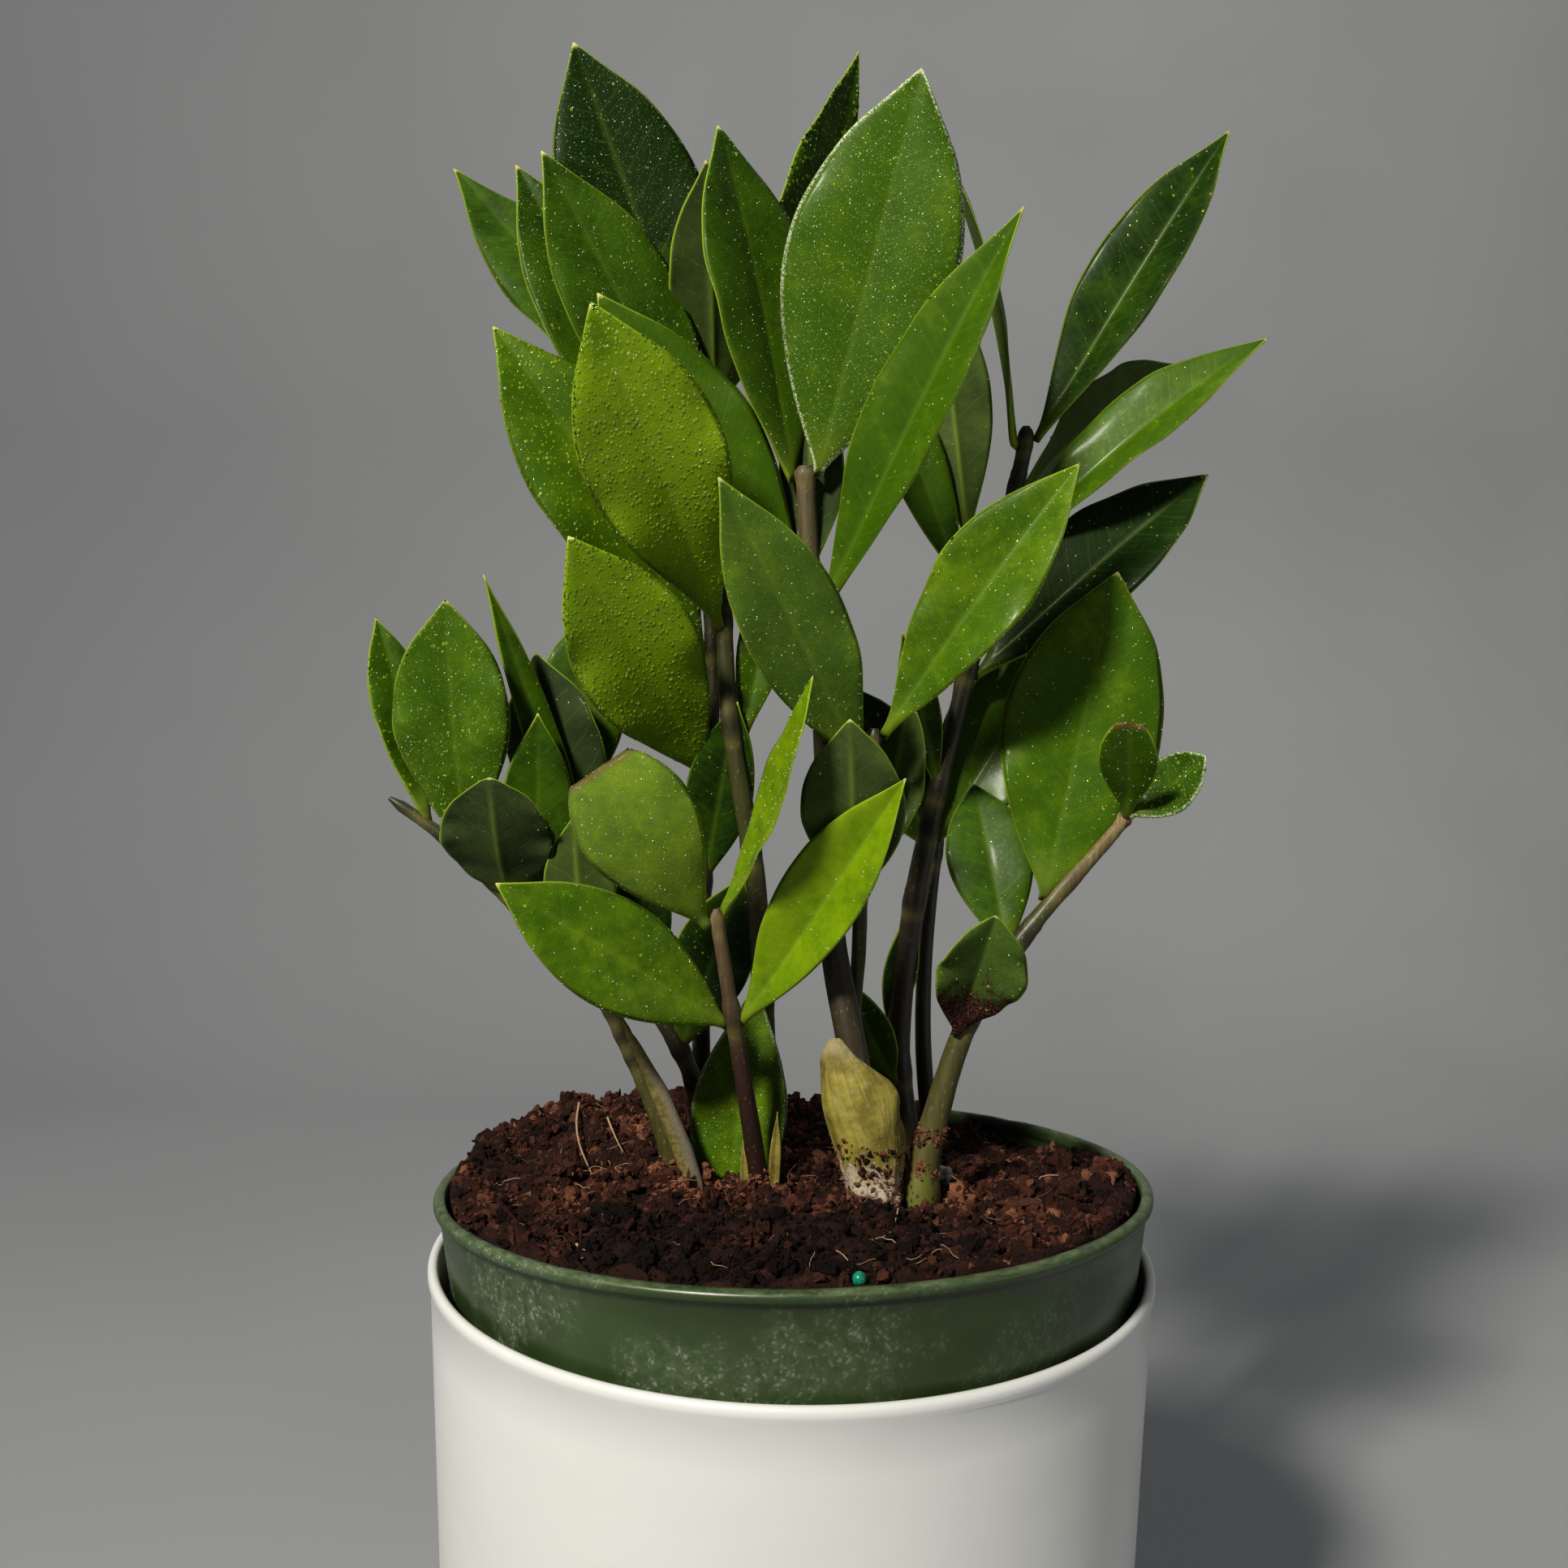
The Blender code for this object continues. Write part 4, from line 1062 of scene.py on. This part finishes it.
def turned_mesh(name, outline, steps, matrix, material, sway=None):
    """An outline turned once round, with one point at each pole."""
    points, faces, rows = [], [], []
    for radius, height in outline:
        if radius < POLE:
            rows.append([len(points)] * steps)
            points.append(Vector((0, 0, height)))
            continue
        rows.append(list(range(len(points), len(points) + steps)))
        for step in range(steps):
            angle = math.tau * step / steps
            spot = Vector((math.cos(angle) * radius, math.sin(angle) * radius, height))
            points.append(spot + sway(spot, angle) if sway else spot)
    for upper, lower in zip(rows, rows[1:]):
        for step in range(steps):
            after = (step + 1) % steps
            faces.append(tuple(dict.fromkeys((upper[step], upper[after], lower[after], lower[step]))))
    depths = {"depth_mm": [-p.z / MM for p in points]}
    return closed_up(mesh_of(name, [matrix @ p for p in points], faces, material, depths))


def glaze_finish():
    """White satin glaze, a touch creamy, with pinholes and faint handling marks."""
    b = Finish("white_satin_glaze", Coat_Weight=0.25, Coat_Roughness=0.28)
    cloud = b.grain(b.where, 0.012, 3.0, 0.5)
    ripple = b.grain(b.stretched(b.where, (1.0, 1.0, 2.2)), 0.05, 2.0)
    smear = b.grain(b.stretched(b.where, (1.0, 1.0, 0.3)), 0.11, 4.0, 0.65)
    colour = b.painted(
        b.mix(cloud.fade(0.3, 0.7), (0.71, 0.71, 0.685), (0.77, 0.77, 0.75)),
        (smear.fade(0.62, 0.8) * 0.18, (0.66, 0.65, 0.60)),
        (b.spots(b.where, 0.055).fade(0.035, 0.02) * 0.6, (0.33, 0.27, 0.20)),
    )
    rough = 0.30 + cloud * 0.08 + smear.fade(0.5, 0.8) * 0.12
    return b.done(colour, rough, ripple + smear * 0.12, 0.25, 0.5 * MM)


def plastic_finish():
    """Moss green plastic, with patches of dried hard-water spots, a scuffed lip lightened by a painted
    highlight, and painted shade in the groove under it.
    """
    b = Finish("green_pot_plastic", Specular_IOR_Level=0.5)
    cloud = b.grain(b.where, 0.035, 3.0)
    dust = b.grain(b.where, 0.42, 4.0, 0.7)
    bent = b.stretched(b.grain(b.where, 0.5, 2.0).out("Color"), (1.6, 1.6, 2.6))
    drops = b.spots(b.vectors("ADD", b.where, bent), 0.95)
    x, y, _ = b.split(b.where)
    dusty = b.grain(b.where, 0.05, 2.0).fade(0.40, 0.60) * (
        0.35 + x.fade(38.0, -25.0) * y.fade(10.0, -20.0) * 0.65)
    spatter = drops.fade(0.48, 0.2) * dust.fade(0.42, 0.54)
    scuff_and_sheen = b.grain(b.stretched(b.where, (1.0, 1.0, 5.0)), 0.25, 3.0, 0.7)
    depth = b.field("depth_mm") + (scuff_and_sheen - 0.5) * 0.8
    lip_scuff_and_highlight = depth.fade(1.3, 0.3) * depth.fade(-0.6, 0.1)
    colour = b.painted(
        b.mix(cloud.fade(0.3, 0.7), (0.032, 0.056, 0.017), (0.050, 0.082, 0.028)),
        (dusty * dust.fade(0.3, 0.7) * 0.6, (0.125, 0.165, 0.10)),
        ((dusty * spatter).least(1.0) * 0.7, (0.22, 0.27, 0.19)),
        # The lip: scuff marks and a painted highlight.
        (lip_scuff_and_highlight * scuff_and_sheen.fade(0.3, 0.7) * 0.55, (0.17, 0.22, 0.12)),
        # Painted shade: a dark line in the groove under the lip.
        ((depth - 2.9).hump(0.5) * 0.75, (0.010, 0.016, 0.007)),
    )
    rough = 0.30 + dusty * 0.16 + spatter * dusty * 0.25 + scuff_and_sheen * 0.06
    return b.done(colour, rough, spatter * dusty * 0.6 + cloud * 0.8 + scuff_and_sheen * 0.15, 0.35, 0.35 * MM)


def rim_sway(spot, angle):
    """How far the green pot's thin rim strays from round, with small nicks."""
    near_top = max(0.0, 1 + spot.z / (14 * MM))
    at_lip = max(0.0, 1 + spot.z / (2 * MM))
    out = Vector((spot.x, spot.y, 0)).normalized()
    dent = 0.22 * (math.sin(angle * 3 + 1) - 1) + 0.12 * (math.sin(angle * 11) - 1)
    nick = noise.noise(Vector((math.cos(angle) * 9, math.sin(angle) * 9, 3)))
    return out * dent * near_top * MM * 0.6 - Vector((0, 0, 1)) * max(0.0, nick - 0.25) * 0.5 * MM * at_lip


def make_pots():
    """Both pots. Returns the green one's frame and its inner radius just under the rim."""
    upright = pot_frame("cachepot")
    outline = finer(outline_of("cachepot", upright), 9 * MM)
    mesh = turned_mesh("glazed_cachepot", outline, 160, upright, glaze_finish())
    add_piece("glazed_cachepot", mesh, ["cachepot"])
    leaning = pot_frame("nursery_pot")
    outline = finer(outline_of("nursery_pot", leaning), 5 * MM)
    mesh = turned_mesh("green_nursery_pot", outline, 200, leaning, plastic_finish(), rim_sway)
    add_piece("green_nursery_pot", mesh, ["nursery_pot"])
    top = max(range(len(outline)), key=lambda i: outline[i][1])
    return leaning, min(radius for radius, height in outline[:top] if -8 * MM < height < -1 * MM)


# ---- soil ------------------------------------------------------------------------------------------


BED_RINGS, BED_STEPS = 64, 168  # points from the middle to the edge, and round
BED_DEPTH = 9 * MM
FULL_TURN = (6.28, 6.28, 6.28)


def soil_finish(name, dark, mid, light, by_crumb=True):
    """Dull and gritty, its shade taken crumb by crumb or from the clods."""
    b = Finish(name, Specular_IOR_Level=0.25)
    clods = b.grain(b.where, 0.22, 4.0, 0.7)
    grit = b.grain(b.where, 1.6, 3.0, 0.7)
    pick = (b.field("crumb") if by_crumb else clods) * 0.7
    colour = b.painted(
        b.mix((pick + grit * 0.4).fade(0.2, 0.7), dark, mid),
        ((pick + grit * 0.45).fade(0.62, 0.98), light),
    )
    return b.done(colour, 0.82 + grit * 0.15, grit + clods, 0.7, 0.6 * MM)


def round_axis(step, radius, height):
    """A point beside the leaning pot's axis."""
    angle = math.tau * step / BED_STEPS
    return Vector((math.cos(angle) * radius, math.sin(angle) * radius, height))


def soil_levels(leaning, edge):
    """How high the CAD soil stands at each point of the bed, with the holes of the stems filled in."""
    triangles = triangles_of("soil").reshape(-1, 3)
    corners = [(i, i + 1, i + 2) for i in range(0, len(triangles), 3)]
    tree = BVHTree.FromPolygons([Vector(p) for p in triangles], corners)
    down = -(leaning.to_3x3() @ Vector((0, 0, 1))).normalized()
    levels = np.zeros((BED_RINGS + 1, BED_STEPS))
    for ring in range(BED_RINGS + 1):
        for step in range(BED_STEPS):
            start = leaning @ round_axis(step, edge * ring / BED_RINGS, 40 * MM)
            hit = tree.ray_cast(start, down)
            levels[ring, step] = 40 * MM - hit[3] if hit[0] else -2 * MM
    levels[0] = np.median(levels[0])
    levels[levels < -BED_DEPTH] = np.nan
    while (gaps := np.isnan(levels)).any():
        near = np.stack([np.roll(levels, 1, 1), np.roll(levels, -1, 1),
                         np.vstack([levels[1:], levels[-1:]]), np.vstack([levels[:1], levels[:-1]])])
        counted = (~np.isnan(near)).sum(0)
        levels = np.where(gaps & (counted > 0), np.nansum(near, 0) / np.maximum(counted, 1), levels)
    return levels


def make_bed(leaning, edge, finish):
    """The soil's top, laid on the CAD soil and roughened, closed by a flat bottom."""
    levels = soil_levels(leaning, edge)
    points, faces = [], []
    for ring in range(BED_RINGS + 1):
        for step in range(BED_STEPS):
            spot = round_axis(step, edge * ring / BED_RINGS, levels[ring, step])
            coarse = noise.fractal(spot * 130, 0.9, 2.1, 4)
            clod = noise.cell(spot * 240) * 0.9 + abs(noise.noise(spot * 260)) * 1.6
            lift = coarse * 2.3 + clod * 1.3 + abs(noise.noise(spot * 700)) * 1.2 - 1.6
            banked = max(0.0, ring / BED_RINGS - 0.6) / 0.4
            lift += banked * (1.6 + 1.6 * max(0.0, math.cos(math.tau * step / BED_STEPS + 0.2)))
            lift *= MM if ring < BED_RINGS else 0.45 * MM
            points.append(leaning @ (spot + Vector((0, 0, lift))))
    points += [leaning @ round_axis(step, edge - 1.6 * MM, -BED_DEPTH) for step in range(BED_STEPS)]
    for ring in range(BED_RINGS + 1):
        for step in range(BED_STEPS):
            a, c = ring * BED_STEPS + step, ring * BED_STEPS + (step + 1) % BED_STEPS
            faces.append((a, a + BED_STEPS, c + BED_STEPS, c))
    faces.append(tuple((BED_RINGS + 1) * BED_STEPS + step for step in reversed(range(BED_STEPS))))
    reach = [(1 - ring / BED_RINGS) * edge / MM for ring in range(BED_RINGS + 1) for _ in range(BED_STEPS)]
    reach += [-9.0] * BED_STEPS
    return closed_up(mesh_of("soil_bed", points, faces, finish, {"edge_mm": reach}), merge=0.001 * MM)


def crumb_tree(name, finish, detail):
    """Crumbs strewn over the bed, except at its very edge, and darkened by painted shade near the front
    middle.
    """
    b = Growth(name, (
        ("Crumbs", 0.2), ("Smallest", 0.5), ("Largest", 2.0), ("Stretch", 1.0), ("Pale", 0.0), ("Seed", 1),
    ))
    smallest, largest, stretch = b.given["Smallest"], b.given["Largest"], b.given["Stretch"]
    inside = b.field("edge_mm").over(largest * 0.45)
    points = b.strewn(b.given["Crumbs"] * PER_SQUARE_MM, b.given["Seed"], inside)
    lump = b.add("GeometryNodeMeshIcoSphere", None, {"Radius": MM, "Subdivisions": detail})
    uneven = b.grain(b.place(1100.0, 1100.0, 1100.0), 1.0, 2.0) - 0.5
    lump = b.swollen(lump, uneven * 2.4 * MM)
    size = smallest + (largest - smallest) * b.chance(7) ** 2.0
    sizes = size * b.chance(8, 0.55, 1.3) * stretch, size, size * 0.8 / stretch ** 0.7
    crumbs = b.copies(points, lump, b.random_turn(2, (0, 0, 0), FULL_TURN), sizes)
    where = b.place(*PER_METRE)
    x, y, _ = b.split(where)
    across, ahead = x + 10.0, y + 52.0
    # Painted shade: crumbs near the front middle are darker.
    painted_front_shade = (across * across * 0.5 + ahead * ahead).fade(1300.0, 300.0)
    shade = b.chance(9) * 0.5 + (b.grain(where, 0.04) - 0.43) * 1.7 + (b.grain(where, 0.22) - 0.45) * 1.5
    shade = (shade - painted_front_shade * 0.5 + b.given["Pale"]).most(0.0).least(1.0)
    loose = b.realized(b.keep(crumbs, "crumb", shade, "INSTANCE"))
    return b.done(b.keep(loose, "edge_mm", 20.0), finish, realize=True, smooth=False)


def fibre_tree(finish):
    """Short coir fibres lying about on the bed."""
    b = Growth("coir_fibres", (("Fibres", 0.008), ("Length", 9.0), ("Thickness", 0.11), ("Seed", 4)))
    points = b.strewn(b.given["Fibres"] * PER_SQUARE_MM, b.given["Seed"], b.field("edge_mm").over(5.0))
    ends = {"Start": (-0.5, 0.0, 0.0), "End": (0.5, 0.0, 0.0)}
    strand = b.add("GeometryNodeCurvePrimitiveLine", None, ends)
    strand = b.add("GeometryNodeResampleCurve", None, {"Curve": strand, "Count": 9})
    x, _, _ = b.split(b.place())
    bow = x * x
    strand = b.moved(strand, b.vector(0.0, bow * 0.8, 0.05 - bow * 0.25))
    turn = b.random_turn(3, (-0.5, -0.5, 0.0), (0.5, 0.5, 6.28))
    size = b.given["Length"] * b.chance(6, 0.25, 1.0) * MM
    strands = b.copies(points, strand, turn, (size, size, size))
    loose = b.realized(b.keep(strands, "crumb", b.chance(12), "INSTANCE"))
    drift = b.grain(b.place(240.0, 240.0, 240.0), 1.0, 1.0).out("Color")
    bent = b.moved(loose, b.scaled(b.vectors("SUBTRACT", drift, (0.5, 0.5, 0.35)), 4.0 * MM))
    return b.done(b.tube(bent, 4, b.given["Thickness"] * MM), finish)


def thread_tree(finish):
    """Loose roots that get thinner along their length."""
    b = Growth("root_threads", (("Thickness", 0.3),))
    line = b.add("GeometryNodeMeshToCurve", None, {"Mesh": b.given["Geometry"]})
    line = b.add("GeometryNodeCurveSplineType", {"spline_type": "CATMULL_ROM"}, {"Curve": line})
    line = b.add("GeometryNodeResampleCurve", None, {"Curve": line, "Count": 36})
    taper = 1.0 - b.add("GeometryNodeSplineParameter") * 0.6
    return b.done(b.keep(b.tube(line, 6, taper * b.given["Thickness"] * MM), "crumb", 0.85), finish)


def on_bed(tree, x, y):
    """The bed's surface at a place in millimetres."""
    return tree.ray_cast(Vector((x * MM, y * MM, 0.3)), Vector((0, 0, -1)))[0]


def make_threads(tree, finish):
    """The few long pale roots that lie loose on top."""
    spots, edges = [], []
    for thread in ROOT_THREADS:
        edges += [(len(spots) + i, len(spots) + i + 1) for i in range(len(thread) - 1)]
        for x, y, lift in thread:
            spots.append(Vector((x * MM, y * MM, on_bed(tree, x, y).z + (0.4 + lift) * MM)))
    seed = bpy.data.meshes.new("thread_lines")
    seed.from_pydata(spots, edges, [])
    add_piece("root_threads", grown("root_threads", thread_tree(finish), {}, seed))


def bit_finish(name, low, high, rough, **constants):
    b = Finish(name, **constants)
    shade = b.grain(b.where, 0.8, 3.0)
    return b.done(b.mix(shade.fade(0.3, 0.7), low, high), rough + shade * 0.1, shade, 0.3, 0.3 * MM)


def make_loose_bits(tree):
    """A bead of plant feed by the front rim, and a lump of perlite."""
    coated = bit_finish("feed_coating", (0.002, 0.16, 0.10), (0.02, 0.30, 0.19), 0.15, Coat_Weight=0.5)
    chalky = bit_finish("perlite", (0.30, 0.30, 0.28), (0.62, 0.62, 0.60), 0.8)
    finishes = {"feed_bead": coated, "perlite_lump": chalky}
    for name, x, y, size, uneven in LOOSE_BITS:
        shape = bmesh.new()
        bmesh.ops.create_icosphere(shape, subdivisions=3, radius=1.0)
        for corner in shape.verts:
            swell = 1 + uneven * noise.noise(corner.co * 1.7 + Vector((size, 0, 0)))
            corner.co = on_bed(tree, x, y) + (corner.co * swell + Vector((0, 0, 0.8))) * size * MM
        add_piece(name, filled(mesh_of(name, [], [], finishes[name]), shape))


def make_soil(leaning, inner):
    """The bed and all that lies on it. Returns the tree of its small crumbs."""
    bed_finish = soil_finish(
        "damp_soil", (0.006, 0.0026, 0.0020), (0.030, 0.0110, 0.0072), (0.095, 0.036, 0.021), by_crumb=False)
    crumb_finish = soil_finish(
        "soil_crumbs", (0.007, 0.0030, 0.0024), (0.078, 0.0280, 0.0170), (0.260, 0.115, 0.066))
    fibre_finish = soil_finish("coir", (0.10, 0.05, 0.025), (0.28, 0.16, 0.085), (0.55, 0.40, 0.25))
    bed = make_bed(leaning, inner - 0.5 * MM, bed_finish)
    add_piece("soil_bed", bed, ["soil"])
    small = crumb_tree("small_crumbs", crumb_finish, 1)
    large = crumb_tree("large_crumbs", crumb_finish, 2)
    ground = bed
    for name, *numbers in CRUMBS:
        values = dict(zip(("Crumbs", "Smallest", "Largest", "Stretch", "Seed"), numbers))
        made = grown(name, large if name in LUMPY else small, values, ground.copy())
        if name == "soil_clods":
            ground = joined_mesh("rough_bed", [bed, made], ["edge_mm"])
        add_piece(name, made)
    strands = grown("coir_strands", fibre_tree(fibre_finish), {"Seed": 8}, bed.copy())
    add_piece("coir_strands", strands)
    tree = BVHTree.FromPolygons([v.co for v in bed.vertices], [tuple(face.vertices) for face in bed.polygons])
    make_threads(tree, fibre_finish)
    make_loose_bits(tree)
    return small


# ---- room, light and camera ------------------------------------------------------------------------


FLOOR_END, FLOOR_BEND = 0.55, 0.45  # where the floor starts to bend up, and the radius of the bend
BEND_ANGLES = np.linspace(0.1, math.pi / 2, 14)
ROOM_HALF, WALL_HEIGHT = 2.6, 2.6


def backdrop_finish():
    """Pale grey, with painted shade darkening it away to the left."""
    b = Finish("pale_backdrop")
    x, _, _ = b.split(b.where)
    colour = b.painted(
        b.mix(b.grain(b.where, 0.004, 2.0).fade(0.3, 0.7), (0.35, 0.36, 0.37), (0.38, 0.39, 0.40)),
        # Painted shade: the backdrop darkens towards the left.
        (x.fade(500.0, -900.0) * 0.8, (0.21, 0.22, 0.235)),
    )
    return b.done(colour, 0.85)


def make_room():
    """A pale floor that curves up into the wall behind."""
    bend = FLOOR_END + FLOOR_BEND * np.sin(BEND_ANGLES), FLOOR_BEND * (1 - np.cos(BEND_ANGLES))
    outline = [(-1.6, 0.0), (FLOOR_END, 0.0), *zip(*bend), (FLOOR_END + FLOOR_BEND, WALL_HEIGHT)]
    points = [(x, y, z) for y, z in outline for x in (-ROOM_HALF, ROOM_HALF)]
    faces = [(2 * i, 2 * i + 1, 2 * i + 3, 2 * i + 2) for i in range(len(outline) - 1)]
    obj = bpy.data.objects.new("backdrop", mesh_of("backdrop", points, faces, backdrop_finish()))
    bpy.context.scene.collection.objects.link(obj)


def add_light(name, spot, target, size, power, colour):
    lamp = bpy.data.lights.new(name, "AREA")
    lamp.shape, lamp.size, lamp.size_y = "RECTANGLE", *size
    lamp.energy, lamp.color = power, colour
    obj = bpy.data.objects.new(name, lamp)
    obj.location = spot
    obj.rotation_euler = (Vector(target) - Vector(spot)).to_track_quat("-Z", "Y").to_euler()
    bpy.context.scene.collection.objects.link(obj)


def make_lights():
    add_light("key", (-0.72, -1.10, 1.30), (0, 0, 0.2), (0.22, 0.22), 32.0, (1.0, 0.96, 0.88))
    add_light("fill", (1.5, -0.8, 0.2), (0, 0, 0.08), (1.2, 1.0), 2.9, (0.92, 0.96, 1.0))
    add_light("top", (0.2, 0.7, 1.5), (0, 0, 0.2), (0.8, 0.8), 2.4, (1.0, 1.0, 1.0))
    world = bpy.data.worlds.new("soft_room")
    world.use_nodes = True
    background = world.node_tree.nodes["Background"]
    background.inputs["Color"].default_value = (0.72, 0.76, 0.80, 1.0)
    background.inputs["Strength"].default_value = 0.10
    bpy.context.scene.world = world


CAMERA_SPOT = (-0.00349, -0.326, 0.25187)
CAMERA_DOWN, CAMERA_ROLL = math.radians(4.01), math.radians(0.89)
LENS, SENSOR = 35.4, 36.0


def make_camera():
    """In front, at the height of the lower leaves, looking slightly down."""
    lens = bpy.data.cameras.new("camera")
    lens.lens, lens.sensor_width = LENS, SENSOR
    obj = bpy.data.objects.new("camera", lens)
    turn = Matrix.Rotation(-CAMERA_ROLL, 4, "Y") @ Matrix.Rotation(math.pi / 2 - CAMERA_DOWN, 4, "X")
    obj.matrix_world = Matrix.Translation(CAMERA_SPOT) @ turn
    bpy.context.scene.collection.objects.link(obj)
    bpy.context.scene.camera = obj


def main():
    make_camera()
    make_lights()
    make_room()
    bpy.context.scene.view_settings.view_transform = "Standard"
    bpy.context.scene.view_settings.look = "Medium High Contrast"
    leaning, inner = make_pots()
    rim_height = leaning.translation.z
    crumbs = make_soil(leaning, inner)
    spines = {stem: spine_of("stem_" + stem) for stem in STEMS}
    leaves, joints = make_leaves(leaf_tree(leaf_skin()), spines, rim_height)
    make_stems(spines, joints, rim_height, crumbs)
    make_dew(leaves, dew_tree(dew_finish()))
    paper = paper_skin()
    make_scale_leaf(paper, crumbs)
    make_bracts(leaf_tree(paper), spines["front"], rim_height)
    make_shoot(shoot_skin())


main()
